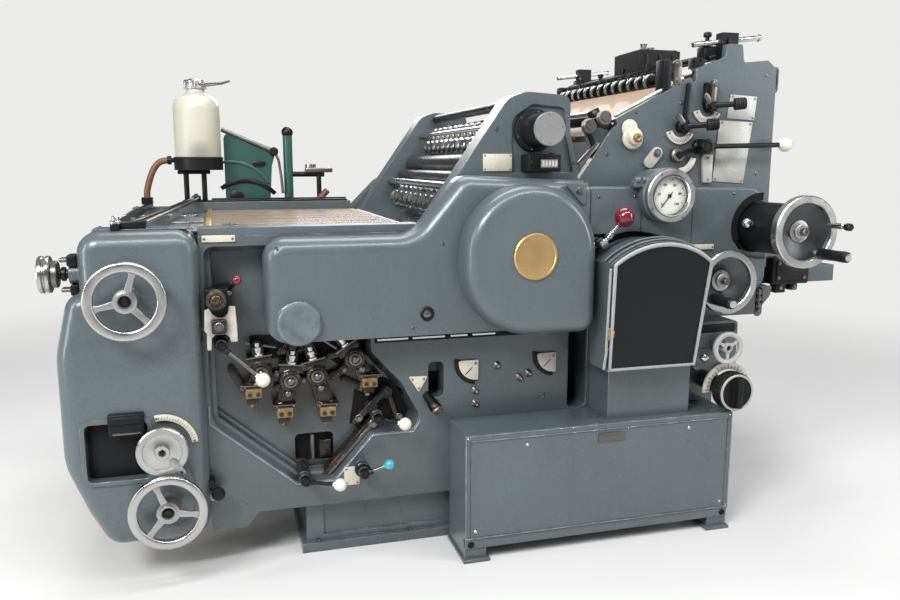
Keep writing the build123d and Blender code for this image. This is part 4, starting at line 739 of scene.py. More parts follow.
# Delivery dial: turned aluminium disc with stepped rings and a small bored ear.
# A cream scale strip is screwed to the housing behind its rim.
DIAL_X, DIAL_Z = -725, 367
SCALE_FACE = -600
dial = [
    turned([(0, 0), (58, 0), (60, 3), (60, 17), (57, 20), (46, 20.5), (44.5, 18), (40, 17.5), (24, 19),
            (18, 21), (16.5, 24), (9, 24), (7, 20), (0, 20)], (DIAL_X, -617, DIAL_Z), FRONT, rim_aluminium,
           64),
    plate(capsule(DIAL_X + 24, DIAL_Z - 26, DIAL_X + 42, DIAL_Z - 52, 9), -639, -633, aluminium, 1),
    turned([(0, 0), (3.5, 0), (3.5, 0.8), (0, 0.8)], (DIAL_X + 42, -639, DIAL_Z - 52), FRONT, pin_black,
           14),
    turned([(0, 0), (6.5, 0), (6, 3), (3, 4), (0, 3)], (DIAL_X, -637, DIAL_Z), FRONT, pin_black, 18)]
piece("dial_disc", dial, "cast_aluminium", "delivery_dial", ("delivery_dial",))
dial_scale = [plate(band(DIAL_X, DIAL_Z, 68, 83, 6, 102), SCALE_FACE, HOUSING_FACE, cream_enamel, 1)]
dial_scale += [
    plate(strip(DIAL_X, DIAL_Z, a, 72, 80 if a % 20 == 0 else 77, 0.9), -600.6, -599.5, ink_mark, 0.2, 1)
    for a in range(15, 96, 5)]
dial_scale += screw_ring(DIAL_X, SCALE_FACE, DIAL_Z, 75, (9, 99), 3)
piece("dial_scale", dial_scale, "white_ball")


# End knob: satin turned disc with two raised bands, on a shaft out of the delivery end wall.
# Blackened clamps with four stop screws carry the shaft where it leaves the housing.
KNOB_Y, KNOB_Z = -535, 792
LEFT = (-1, 0, 0)
end_disc = [
    turned([(0, 0), (38, 0), (43, 2), (44, 4), (44, 10), (41, 12), (39.5, 13), (39.5, 15), (41, 16),
            (44, 18), (44, 24), (42, 27), (34, 28), (31, 26), (12, 26), (10, 28), (0, 28)],
           (-952, KNOB_Y, KNOB_Z), LEFT, rim_aluminium, 64),
    turned([(0, 0), (30, 0), (32, 2), (32, 12), (30, 14), (0, 14)], (-938, KNOB_Y, KNOB_Z), LEFT,
           oiled_steel, 40),
    turned([(0, 0), (15, 0), (15, 8), (11, 10), (11, 26), (17, 28), (17, 36), (11, 39), (11, 60), (0, 60)],
           (-894, KNOB_Y, KNOB_Z), LEFT, pin_black, 28)]
piece("end_disc", end_disc, "bright_steel", "end_knob", ("end_knob",))
clamp = [
    block((-916, -560, 812), (-893, -510, 838), black_iron, 4),
    block((-912, -556, 742), (-893, -514, 768), black_iron, 4)]
clamp += [
    bar((-912, y, z), (-932, y, z), 5, oiled_steel)
    for y, z in ((-548, 826), (-522, 826), (-546, 755), (-524, 755))]
piece("end_knob_clamp", clamp, "black_enamel")


# Cylinders and rollers: ground steel across the machine between the frames, the forms in black rubber.
# Two rows of hard discs spread the ink; chromed and black bars tie the ink frames together.
roller_steel = metal("ground_steel", (0.46, 0.47, 0.48), 0.22, shade_and_dirt=0.4)
ink_rubber = rubber("ink_rubber", (0.010, 0.010, 0.011, 1), (0.03, 0.03, 0.032, 1), 10.0, 500.0, 0.22, 0.4)
dress(roller_steel, "cylinders")
INNER = 442
ties = [
    turned([(0, 0), (10, 0), (10, 20), (14, 20), (14, 2 * INNER - 20), (10, 2 * INNER - 20),
            (10, 2 * INNER), (0, 2 * INNER)], (236, -INNER, 1212), BACK, pin_black, 28),
    bar((182, -INNER, 1150), (182, INNER, 1150), 8, chrome),
    bar((60, -INNER, 985), (60, INNER, 985), 12, roller_steel)]
piece("ink_tie_bars", ties, "bright_steel", stands_for=("ink_ties",))
disc_steel = metal("polished_discs", (0.52, 0.52, 0.51), 0.16, shade_and_dirt=0.9, edge=0.0006)


def disc_row(x, z, shaft, radius, count, width, offset=0.0, edge=4.0):
    """Shaft with crowned discs spaced evenly across the machine."""
    pitch = (2 * INNER - 24) / count
    profile = [(0, 0), (shaft, 0)]
    for i in range(count):
        start = 12 + i * pitch + (pitch - width) / 2 + offset
        profile += [
            (shaft, start), (radius * 0.72, start), (radius - edge, start + width * 0.10),
            (radius, start + width * 0.32), (radius, start + width * 0.68),
            (radius - edge, start + width * 0.90), (radius * 0.72, start + width), (shaft, start + width)]
    profile += [(shaft, 2 * INNER), (0, 2 * INNER)]
    return turned(profile, (x, -INNER, z), BACK, disc_steel, 36)


rollers = [
    disc_row(240, 1150, 10, 32, 13, 34),
    disc_row(206, 1108, 8, 24, 14, 26, 6),
    disc_row(120, 945, 16, 42, 12, 26, 0, 14),
    disc_row(84, 925, 10, 28, 12, 12, 22, 10)]
piece("ink_disc_rollers", rollers, "roller_steel", stands_for=("ink_rollers",))
form = [
    turned([(0, 0), (12, 0), (12, 8), (30, 10), (31, 14), (31, 2 * INNER - 14), (30, 2 * INNER - 10),
            (12, 2 * INNER - 8), (12, 2 * INNER), (0, 2 * INNER)], (150, -INNER, 1045), BACK, ink_rubber,
           40),
    turned([(0, 0), (9, 0), (9, 8), (22, 10), (22, 2 * INNER - 10), (9, 2 * INNER - 8), (9, 2 * INNER),
            (0, 2 * INNER)], (110, -INNER, 1005), BACK, ink_rubber, 32)]
piece("ink_form_rollers", form, "black_enamel")


# Ink frames: ribbed iron side plates that carry the rollers, bolted on top of the side frames.
# The operator's one holds the black drive knob with its grey cap and the sheet counter.
INK_FACE = FRAME_FACE
POCKET_FACE = -514
INK_KNOB_X, INK_KNOB_Z = 258, 1136
dress(press_enamel, "ink_frame_operator", "ink_frame_drive")
grey_cap = enamel(
    "grey_cap", (0.20, 0.20, 0.20), (0.4, 0.4, 0.4, 1), rough=0.42, wear=0.3, shade_and_dirt=0.3, edge=0.001)
knob = [
    turned([(0, 0), (57, 0), (57, 10), (54, 14), (46, 16), (44, 20), (44, 108), (42, 112), (40, 112)],
           (INK_KNOB_X, POCKET_FACE, INK_KNOB_Z), FRONT, black_iron, 56),
    turned([(43.2, 111), (43.2, 116), (42, 118), (0, 118)], (INK_KNOB_X, POCKET_FACE, INK_KNOB_Z), FRONT,
           grey_cap, 56)]
knob += screw_ring(INK_KNOB_X, -528, INK_KNOB_Z, 50, range(20, 380, 60), 3)
knob += screw_ring(INK_KNOB_X, -632, INK_KNOB_Z, 36, (10, 95, 180, 270), 1.8)
counter = [
    block((222, -578, 1027), (314, POCKET_FACE, 1073), black_iron, 4, 3),
    block((250, -582, 1033), (306, -576, 1064), pin_black, 2),
    block((254, -583.2, 1038), (302, -581, 1059), grey_cap, 1),
    bar((232, -578, 1050), (232, -588, 1050), 8, pin_black),
    turned([(0, 0), (9, 0), (9, 3), (0, 5)], (300, -546, 1073), UP, pin_black, 18)]
counter += [
    block((258 + i * 9, -583.8, 1041), (264 + i * 9, -582.6, 1056), cream_enamel, 0.6, 1)
    for i in range(5)]
piece("ink_knob_and_counter", knob + counter, "black_enamel", stands_for=("ink_controls",))
plain_tag = [block((112, -526, 1028), (194, INK_FACE, 1074), cream_enamel, 1)]
plain_tag += [screw((x, -526, z), FRONT, 2.4) for x in (117, 189) for z in (1033, 1069)]
piece("ink_plain_tag", plain_tag, "white_ball")
ink_bolts = []
for side in (-1, 1):
    axis = (0, side, 0)
    for x, z in ((-30, 885), (60, 1010), (150, 1140), (370, 1120), (376, 1050), (372, 900)):
        spot = (x, side * -INK_FACE, z)
        ink_bolts += hex_bolt(spot, axis, 7) if side > 0 else [screw(spot, axis, 5)]
piece("ink_frame_bolts", ink_bolts, "bright_steel")


# Covers: long rounded front cover and domed gear cover of cast aluminium in the press enamel.
# Screws hold them to the frame; a blank brass disc and an oil plug are let into their faces.
dress(press_enamel, "front_cover", "gear_cover")
brass = metal("worn_brass", (0.62, 0.42, 0.19), 0.34, shade_and_dirt=0.7, cloud=0.22)
COVER_FACE = -600
DISC_X, DISC_Z = 201, 815
brass_disc = [
    turned([(0, 0), (60, 0), (60, 3), (57, 6), (53, 6), (51.5, 4), (0, 4)], (DISC_X, -690, DISC_Z), FRONT,
           brass, 64)]
brass_disc += screw_ring(DISC_X, -694, DISC_Z, 45, (45, 135, 225, 315), 2.6, brass)
piece("brass_disc", brass_disc, "bearing_brass")
cover_bits = [
    turned([(0, 0), (11, 0), (11, 3), (7, 5), (3, 5), (2, 3), (0, 3)], (-62, COVER_FACE, 665), FRONT,
           oiled_steel, 24),
    turned([(11.5, 0), (19, 0), (19, 2), (16, 5), (11.5, 5)], (-62, COVER_FACE, 665), FRONT, pin_black, 32)]
cover_bits += hex_bolt((354, -606, 976), FRONT, 7)
cover_bits += [
    screw((x, COVER_FACE, z), FRONT, 4.5)
    for x, z in ((-440, 846), (-20, 846), (372, 1000), (372, 640), (-100, 630))]
piece("cover_fittings", cover_bits, "bearing_brass")
rubbed_boss = enamel(
    "rubbed_boss", shade(BLUE_GREY, 1.25), WORN_METAL, rough=0.3, wear=0.9, shade_and_dirt=0.5, edge=0.006, cloud=0.6,
    coarse=40.0)
boss_face = [
    turned([(0, 0), (54, 0), (54, 2), (51, 5), (46, 6), (42, 4.5), (20, 3.5), (0, 3)], (-391, -612, 656),
           FRONT, rubbed_boss, 64)]
piece("cover_boss_face", boss_face, "blue_enamel")
tab = [
    plate([(313, 998), (374, 998), (376, 990), (376, 942), (366, 939)], -606, COVER_FACE, press_enamel,
          1.2)]
piece("gear_cover_tab", tab, "blue_enamel")


# Roller sockets: iron brackets in the recess that hold the ends of the form rollers.
# Each has a ringed bearing, a chromed adjusting stem above and a brass bearing block below, all oily.
oily_brass = enamel(
    "oily_brass", (0.20, 0.125, 0.050), (0.62, 0.42, 0.18, 1), rough=0.26, wear=1.0, shade_and_dirt=0.7, edge=0.007,
    coat=0.3, cloud=0.8, coarse=60.0)
oily_iron = enamel(
    "oily_iron", (0.016, 0.013, 0.011), (0.40, 0.31, 0.21, 1), rough=0.25, wear=1.0, shade_and_dirt=0.4, edge=0.003,
    coat=0.1, cloud=0.6, shine=0.4, coarse=60.0)


def socket(bearing, seat, stem):
    """Bracket from stem to bearing to block, with its rings, screws and collars."""
    (bx, bz), (sx, sz), (tx, tz) = bearing, seat, stem
    rise = degrees(atan2(tz - bz, tx - bx))
    fall = degrees(atan2(sz - bz, sx - bx))
    drop = Vector((sx - bx, sz - bz)).length
    iron = [
        plate(strip(bx, bz, rise, 20, 42, 62), -504, RECESS_FLOOR, oily_iron, 3),
        plate(strip(bx, bz, rise, 40, 78, 30), -494, RECESS_FLOOR, oily_iron, 3),
        plate(strip(bx, bz, fall, 18, drop - 10, 44), -490, RECESS_FLOOR, oily_iron, 3),
        plate(strip(bx, bz, fall, 28, drop - 22, 28), -500, -488, oily_iron, 2.5),
        turned([(0, 0), (29, 0), (29, 46), (27, 50), (24, 51), (23, 54), (19, 54), (18, 50), (0, 50)],
               (bx, RECESS_FLOOR, bz), FRONT, oily_iron, 36),
        block((sx - 30, -510, sz + 12), (sx + 30, RECESS_FLOOR, sz + 20), oily_iron, 1.5),
        block((sx - 18, -504, sz - 32), (sx + 12, RECESS_FLOOR, sz - 14), oily_iron, 3),
        turned([(0, 0), (16, 0), (17, 2), (17, 15), (14, 18), (0, 18)],
               (tx + 14 * cos(radians(rise)), -484, tz + 14 * sin(radians(rise))), (tx - bx, 0, tz - bz),
               pin_black, 28)]
    shine = [
        turned([(18, 48), (17, 57), (13, 58), (12, 54), (9, 54), (8, 64), (5, 66), (0, 66)],
               (bx, RECESS_FLOOR, bz), FRONT, oiled_steel, 32),
        plate(strip(bx, bz, rise, 40, 44, 68), -507, -498, oiled_steel, 1),
        turned([(0, 0), (8, 0), (8, 5), (5, 7), (0, 7)],
               (bx + 38 * cos(radians(fall)), -500, bz + 38 * sin(radians(fall))), FRONT, oiled_steel, 20),
        block((sx - 31, -513, sz + 18), (sx + 31, -506, sz + 21), oiled_steel, 0.8)]
    lean = Vector((tx - bx, 0, tz - bz)).normalized()
    top = Vector((bx, -494, bz)) + lean * 44
    shine.append(
        turned([(0, 0), (15, 0), (15, 5), (10, 7), (10, 14), (12, 15), (12, 22), (8, 24), (8, 34), (0, 34)],
               top, lean, chrome, 24))
    shine += [screw((sx + d, -513, sz + 15.5), FRONT, 3.2) for d in (-22, 22)]
    warm = [
        block((sx - 22, -517, sz - 14), (sx + 20, RECESS_FLOOR, sz + 12), oily_brass, 3, 3),
        turned([(0, 0), (7, 0), (7, 8), (4, 11), (0, 11)], (sx - 6, -494, sz - 31), (0, -0.4, -1),
               oily_brass, 18)]
    dark = [
        turned([(0, 0), (6, 0), (6, 2), (3, 2.4), (0, 1)], (sx + d, -517, sz - 3), FRONT, oily_iron, 18)
        for d in (-11, 10)]
    return iron + dark, shine, warm


def spring(start, end, radius, turns, material):
    """Coil of wire between two points of the recess."""
    start, end = Vector(start), Vector(end)
    run = (end - start).normalized()
    side = run.orthogonal().normalized()
    other = run.cross(side)
    coil = []
    steps = 10
    for i in range(turns * steps + 1):
        a = 2 * pi * i / steps
        middle = start + (end - start) * (i / (turns * steps))
        coil.append(tuple(middle + (side * cos(a) + other * sin(a)) * radius))
    return trim(coil, 1.3, material)


socket_iron, socket_shine, socket_brass = [], [], []
for place in (((-408, 487), (-424, 404), (-401, 552)), ((-338, 496), (-312, 398), (-352, 558)),
              ((-237, 535), (-198, 469), (-265, 578)), ((-482, 514), (-502, 462), (-488, 566))):
    iron, shine, warm = socket(*place)
    socket_iron += iron
    socket_shine += shine
    socket_brass += warm
SOCKET_LINKS = (
    ((-530, 470), (-440, 500)), ((-440, 462), (-372, 478)), ((-330, 470), (-262, 500)),
    ((-300, 540), (-250, 552)), ((-430, 560), (-360, 570)), ((-556, 520), (-530, 468)),
    ((-262, 470), (-214, 444)))
for start, end in SOCKET_LINKS:
    socket_iron.append(plate(capsule(*start, *end, 10), -478, RECESS_FLOOR, oily_iron, 2))
    socket_shine += hex_bolt((end[0], -478, end[1]), FRONT, 6)
piece("socket_blocks", socket_brass, "bearing_brass", stands_for=("roller_sockets",))
piece("socket_brackets", socket_iron, "black_enamel")
socket_shine += [
    spring((-376, -482, 560), (-420, -482, 580), 7, 7, oiled_steel),
    spring((-300, -480, 470), (-258, -480, 520), 6, 8, oiled_steel),
    bar((-520, -486, 590), (-440, -486, 575), 4, oiled_steel),
    bar((-322, -488, 590), (-280, -488, 560), 4, oiled_steel)]
piece("socket_stems", socket_shine, "bright_steel")
# Flat black sheets on the recess floor paint the shade in its openings and behind the sockets.
backs = [
    plate([(-506, 604), (-206, 604), (-214, 520), (-262, 500), (-300, 530), (-380, 520), (-440, 540),
           (-500, 540)], -463, RECESS_FLOOR, seam_and_shadow_black, 2),
    plate([(-248, 342), (-196, 336), (-92, 336), (-80, 372), (-120, 450), (-152, 468), (-232, 446)], -462,
          RECESS_FLOOR, seam_and_shadow_black, 2),
    plate(capsule(-236, 352, -148, 438, 9), -484, -460, oily_iron, 2.5),
    plate(capsule(-118, 352, -142, 430, 6), -478, -460, oily_iron, 2),
    turned([(0, 0), (20, 0), (20, 16), (16, 20), (8, 20), (7, 26), (0, 26)], (-148, -460, 428), FRONT,
           oily_iron, 28)]
backs += (
    hex_bolt((-226, -484, 362), FRONT, 8)
    + hex_bolt((-112, -478, 356), FRONT, 7)
    + hex_bolt((-176, -462, 350), FRONT, 6))
piece("recess_openings", backs, "black_enamel")
slide = [
    plate(capsule(-318, 214, -186, 352, 15), -500, RECESS_FLOOR, oily_iron, 3),
    plate(capsule(-312, 220, -192, 346, 4), -504, -499, oiled_steel, 1.5),
    bar((-350, -445, 236), (-350, -445, 318), 8, oiled_steel),
    block((-332, -456, 250), (-300, -443, 300), oily_iron, 3)]
slide += hex_bolt((-190, -500, 348), FRONT, 9) + hex_bolt((-372, -462, 224), FRONT, 10)
piece("recess_slide", slide, "black_enamel")


# Throw-off yoke: cream fork on a black bracket, with a sprung drum in its upper notch.
# A short rod with a small red ball stands on it.
maroon, tree, paint = blank_material("maroon_ball")
uneven = use(tree, MOTTLE, Coarse=20.0)
tree.links.new(
    mixed(tree, uneven.outputs["Cloud"], (0.10, 0.006, 0.014, 1), (0.19, 0.012, 0.026, 1)),
    paint.inputs["Base Color"])
paint.inputs["Roughness"].default_value = 0.14
paint.inputs["Coat Weight"].default_value = 0.6
fork = [
    (-614, 696), (-602, 700), (-596, 686), (-584, 676), (-570, 676), (-560, 686), (-556, 704), (-541, 702),
    (-538, 648), (-538, 614), (-555, 614), (-557, 626), (-567, 634), (-589, 634), (-599, 626), (-601, 596),
    (-612, 596), (-611, 640), (-617, 644)]
oily_cream = enamel(
    "oily_cream", (0.50, 0.48, 0.41), (0.12, 0.10, 0.07, 1), rough=0.34, wear=0.8, shade_and_dirt=0.9, edge=0.003,
    cloud=0.3, coarse=40.0, oil_and_shade=[((-0.578, -0.575, 0.655), (0.034, 0.05, 0.045), 0.85)])
piece("yoke_fork", [plate(fork, -576, -562, oily_cream, 2, 3)], "white_ball", stands_for=("throw_off_yoke",))
coil = [(0, 0), (23, 0), (24, 2)]
for i in range(5):
    coil += [(24, 4 + i * 6.4), (20.5, 5 + i * 6.4), (20.5, 7 + i * 6.4), (24, 8 + i * 6.4)]
coil += [(24, 36), (22, 38), (18, 38), (17, 34), (12, 34), (11, 38), (5, 38), (4, 34), (0, 34)]
yoke_iron = [
    turned(coil, (-585, -562, 722), FRONT, oily_iron, 40),
    block((-599, -590, 638), (-563, -562, 674), oily_iron, 5, 3),
    block((-611, -562, 650.5), (-547, FRAME_FACE, 745.5), black_iron, 4, 3),
    block((-589, -524, 650.5), (-547, RECESS_FLOOR, 745.5), black_iron, 4, 3),
    bar((-556, -556, 738), (-541, -574, 758), 4, pin_black)]
yoke_iron += hex_bolt((-581, -590, 656), FRONT, 8) + hex_bolt((-553, -562, 734), FRONT, 4)
piece("yoke_works", yoke_iron, "black_enamel")


def ball_profile(radius, neck):
    """Ball with a short collar where the rod enters."""
    start = -90 + degrees(neck / radius)
    steps = 14
    angles = [radians(start + (90 - start) * i / steps) for i in range(steps)]
    collar = [(neck * 0.9, -radius - 3), (neck, -radius - 2)]
    return collar + [(radius * cos(a), radius * sin(a)) for a in angles] + [(0, radius)]


piece("yoke_ball", [turned(ball_profile(12, 5), (-535, -580, 768), (15, -18, 24), maroon, 32)], "red_ball")


# Ball levers: steel rods screwed into black hubs, each with a moulded ball on its end.
# White, blue and red balls tell the levers apart.
def moulded(name, dark, light, rough):
    material, tree, paint = blank_material(name)
    uneven = use(tree, MOTTLE, Coarse=24.0)
    shade_and_grime = use(tree, CORNER_SHADE_AND_GRIME, Reach=0.012, Patch=60.0)
    tint = mixed(tree, uneven.outputs["Cloud"], dark, light)
    # Painted shade and grime darken the corners towards brown.
    tree.links.new(
        mixed(tree, scaled(tree, shade_and_grime.outputs["Mask"], 0.6), tint, (0.12, 0.10, 0.07, 1)),
        paint.inputs["Base Color"])
    tree.links.new(
        spread(tree, uneven.outputs["Cloud"], 0.3, 0.7, rough, rough + 0.12), paint.inputs["Roughness"])
    paint.inputs["Coat Weight"].default_value = 0.4
    return material


ivory = moulded("ivory_ball", (0.66, 0.62, 0.52, 1), (0.80, 0.77, 0.68, 1), 0.2)
teal = moulded("blue_ball", (0.045, 0.30, 0.36, 1), (0.08, 0.42, 0.48, 1), 0.18)


def lever(name, pivot, hub, level, end, ball_r, rod_r, ball_finish, slot, rod_metal=oiled_steel,
          front=None, back=None):
    """Hub on the pivot, rod and ball, all moving together."""
    (px, pz), (ex, ey, ez) = pivot, end
    back = level + 9 if back is None else back
    front = level - 9 if front is None else front
    high = back - front
    run = Vector((ex - px, ey - level, ez - pz))
    works = [
        turned([(0, 0), (hub, 0), (hub, high - 4), (hub - 2, high - 1), (hub * 0.6, high),
                (hub * 0.5, high - 3), (0, high - 3)], (px, back, pz), FRONT, pin_black, 32),
        bar((px, level, pz), Vector((ex, ey, ez)) - run.normalized() * ball_r * 0.6, rod_r, rod_metal, 0.6,
            16)]
    collar = Vector((px, level, pz)) + run.normalized() * (hub + 1)
    works.append(
        turned([(0, 0), (rod_r + 2.4, 0), (rod_r + 2.4, 8), (rod_r + 1, 10), (0, 10)], collar, run,
               pin_black, 20))
    piece(name + "_rod", works, "bright_steel", name)
    piece(
        name + "_ball", [turned(ball_profile(ball_r, rod_r + 1), (ex, ey, ez), run, ball_finish, 40)], slot,
        name, (name,))


LEVER_Y = -588
lever("throw_off_lever", (-577, 606), 13, LEVER_Y, (-483, -612, 522), 18, 5, ivory, "white_ball")
lever("form_lever", (-190, 388), 13, LEVER_Y, (-123, -600, 373), 17, 5, ivory, "white_ball", pin_black)
lever("damper_lever", (-384, 238), 13, LEVER_Y, (-297, -600, 224), 17, 5, ivory, "white_ball", pin_black)
lever("blue_lever", (-230, 242), 13, LEVER_Y, (-166, -600, 266), 14, 5, teal, "blue_ball")
mounts = []
for x, z, r in ((-577, 606, 17), (-190, 388, 17), (-384, 238, 18), (-230, 242, 21)):
    mounts.append(
        turned([(0, 0), (r, 0), (r, 8), (r - 4, 11), (r - 4, 22), (0, 24)], (x, -548, z), FRONT, pin_black,
               28))
    mounts.append(
        turned([(r - 2, 0), (r + 3, 0), (r + 3, 10), (r, 14), (r - 2, 14)], (x, RECESS_FLOOR, z), FRONT,
               oily_iron, 28))
piece("lever_collars", mounts, "black_enamel")
piece(
    "blue_lever_plate",
    [block((-276, -527, 190), (-234, FRAME_FACE, 242), cream_enamel, 1.5)]
    + [screw((x, -527, z), FRONT, 3) for x in (-270, -240) for z in (196, 236)], "white_ball")


# Feeder frames: thick plates that carry the sloping feed board, with chromed side rails on the slope.
# Setting levers, studs, clamps and blank data plates are fixed to the operator's one.
PLATE_FACE = FRAME_FACE
dress(press_enamel, "feeder_frame_operator", "feeder_frame_drive")
SLOPE_FOOT = Vector((488, 1145))
SLOPE_TOP = Vector((744, 1276))
slope_run = (SLOPE_TOP - SLOPE_FOOT).normalized()


def on_slope(along, above):
    """Point along the sloping board and square above it, in X and Z."""
    p = SLOPE_FOOT + slope_run * along + Vector((-slope_run.y, slope_run.x)) * above
    return (p.x, p.y)


def slope_bar(start, end, above, y, radius, material):
    (x0, z0), (x1, z1) = on_slope(start, above), on_slope(end, above)
    return bar((x0, y, z0), (x1, y, z1), radius, material)


rails = [
    slope_bar(24, 262, 24, -511, 5.5, chrome),
    slope_bar(6, 250, 14, -486, 7, chrome),
    slope_bar(6, 262, 11, 486, 7, chrome)]
piece("feed_side_rails", rails, "bright_steel")
pale_plate = enamel(
    "pale_data_plate", (0.40, 0.40, 0.37), (0.3, 0.3, 0.3, 1), rough=0.42, wear=0.3, shade_and_dirt=0.7, edge=0.001,
    cloud=0.4, coarse=24.0)
data_plates = [
    plate([(858, 1244), (946, 1239), (940, 1172), (848, 1177)], -525, PLATE_FACE, pale_plate),
    plate([(826, 1171), (936, 1167), (915, 991), (811, 998)], -525, PLATE_FACE, pale_plate),
    plate([(771, 1074), (806, 1074), (806, 994), (776, 994)], -532, PLATE_FACE, pale_plate, 2)]
data_plates += [
    screw((x, -525, z), FRONT, 3)
    for x, z in ((864, 1238), (938, 1233), (934, 1178), (834, 1164), (928, 1161), (908, 998), (820, 1004))]
data_plates += [screw((x, -532, z), FRONT, 3) for x, z in ((789, 1064), (791, 1004))]
piece("blank_data_plates", data_plates, "white_ball")


def setting_lever(x, z, reach):
    """Cream scale strip, ringed pivot, and an arm with a ribbed black knob."""
    pale = [plate(band(x - 6, z - 4, 26, 46, 196, 338, 16), -528, PLATE_FACE, cream_enamel, 1)]
    pale += screw_ring(x - 6, -528, z - 4, 37, (204, 330), 3)
    dark = [
        plate(strip(x - 6, z - 4, a, 34, 42, 1.0), -528.6, -527.6, ink_mark, 0.2, 1)
        for a in range(220, 320, 10)]
    dark.append(
        turned([(0, 0), (20, 0), (20, 18), (17, 22), (12, 22), (11, 30), (0, 30)], (x, PLATE_FACE, z),
               FRONT, pin_black, 32))
    dark.append(plate(capsule(x, z, x - 22, z + 26, 8), -546, -538, oiled_steel, 2))
    dark.append(bar((x, -544, z), (x + reach - 24, -570, z + 4), 8, pin_black))
    ribs = [(0, 0), (13, 0)]
    for i in range(6):
        ribs += [(17, 1.5 + i * 5), (17, 4 + i * 5), (15.5, 5 + i * 5)]
    ribs += [(15, 33), (0, 34)]
    dark.append(turned(ribs, (x + reach - 32, -567, z + 3), (32, -13, 3), black_iron, 28))
    return pale, dark


FEED_X, FEED_Z = 762, 1096
cream_parts, black_parts = [], []
for x, z, reach in ((788, 1210, 84), (704, 1152, 84)):
    pale, dark = setting_lever(x, z, reach)
    cream_parts += pale
    black_parts += dark
black_parts.append(plate(capsule(788, 1218, 790, 1274, 8), -548, -534, oiled_steel, 2))
black_parts.append(plate(capsule(772, 1216, 774, 1268, 6), -540, PLATE_FACE, black_iron, 2))
black_parts.append(plate(capsule(718, 1266, 710, 1170, 6), -534, PLATE_FACE, black_iron, 2))
black_parts += hex_bolt((789, -548, 1268), FRONT, 6)
cream_parts.append(plate(capsule(548, 1118, 540, 1146, 24), -527, PLATE_FACE, cream_enamel, 1.5))
cream_parts.append(
    turned([(0, 0), (31, 0), (31, 6), (27, 10), (20, 11), (19, 26), (16, 29), (0, 29)],
           (548, PLATE_FACE - 4, 1118), FRONT, cream_enamel, 40))
black_parts.append(
    turned([(0, 0), (12, 0), (12, 14), (9, 17), (4, 17), (3, 14), (0, 14)], (548, -550, 1118), FRONT,
           oily_brass, 28))
cream_parts.append(plate(capsule(626, 1078, 604, 1052, 17), -531, PLATE_FACE, pale_plate, 1.5))
cream_parts.append(plate(band(700, 1070, 34, 52, 268, 352, 12), -530, PLATE_FACE, cream_enamel, 1))
black_parts += hex_bolt((626, -531, 1078), FRONT, 9)
black_parts.append(
    turned([(0, 0), (21, 0), (21, 14), (17, 18), (11, 18), (10, 13), (0, 13)], (690, PLATE_FACE, 1072),
           FRONT, oiled_steel, 32))
black_parts.append(plate(capsule(690, 1072, 742, 1090, 7), -544, -536, pin_black, 2))
black_parts.append(
    turned([(16.5, 0), (22, 0), (22, 12), (18, 17), (16.5, 17)], (FEED_X, PLATE_FACE, FEED_Z), FRONT,
           pin_black, 32))
for x, z in ((528, 1162), (474, 1075), (856, 1120), (700, 1216), (560, 1190), (960, 1020), (975, 1300)):
    black_parts.append(screw((x, PLATE_FACE, z), FRONT, 5))
black_parts.append(
    turned([(0, 0), (16, 0), (16, 10), (16.3, 18), (0, 18)], (FEED_X, PLATE_FACE, FEED_Z), FRONT, pin_black,
           32))
piece("feeder_setting_levers", black_parts, "black_enamel", stands_for=("feeder_controls",))
piece("feeder_scales", cream_parts, "white_ball")
grip = [
    trim([(1006, -512, 1322), (1016, -512, 1322), (1019, -512, 1316), (1019, -512, 1262),
          (1016, -512, 1256), (1006, -512, 1256)], 4, oiled_steel)]
piece("feeder_side_grip", grip, "bright_steel")
lever(
    "feeder_lever", (FEED_X, FEED_Z), 20, -560, (1024, -560, 1102), 20, 7, ivory, "white_ball", pin_black,
    -576, -545)


# Feed board and wheels: varnished board on the slope, with a row of bright-rimmed wheels on a black shaft.
# The wheels press the sheets on; small clamps on a flat bar above set them across the sheet.
def board_finish(name, dark, light, rough, shine=0.35):
    """Varnished board: long grain, rubbed and marked by paper."""
    material, tree, paint = blank_material(name)
    place = wire(tree, "ShaderNodeTexCoord")
    grain = wire(tree, "ShaderNodeMapping", {"Vector": place.outputs["Object"], "Scale": (3.0, 90.0, 90.0)})
    figure = wire(
        tree, "ShaderNodeTexNoise",
        {"Vector": grain.outputs[0], "Scale": 1.0, "Detail": 6.0, "Distortion": 0.6})
    uneven = use(tree, MOTTLE, Coarse=6.0, Fine=400.0)
    shade_and_grime = use(tree, CORNER_SHADE_AND_GRIME, Reach=0.04)
    tint = mixed(tree, figure.outputs["Fac"], dark, light)
    tint = mixed(
        tree, spread(tree, uneven.outputs["Cloud"], 0.45, 0.75, 0.0, 0.35), tint, (0.30, 0.24, 0.18, 1))
    # Painted shade and grime darken the board's corners.
    tree.links.new(
        mixed(tree, scaled(tree, shade_and_grime.outputs["Mask"], 0.6), tint, SOOT_AND_SHADE), paint.inputs["Base Color"])
    tree.links.new(
        spread(tree, figure.outputs["Fac"], 0.3, 0.7, rough, rough + 0.14), paint.inputs["Roughness"])
    bumps = wire(
        tree, "ShaderNodeBump", {"Height": figure.outputs["Fac"], "Strength": 0.05, "Distance": 0.001})
    tree.links.new(bumps.outputs[0], paint.inputs["Normal"])
    paint.inputs["Coat Weight"].default_value = shine
    paint.inputs["Specular IOR Level"].default_value = shine
    return material


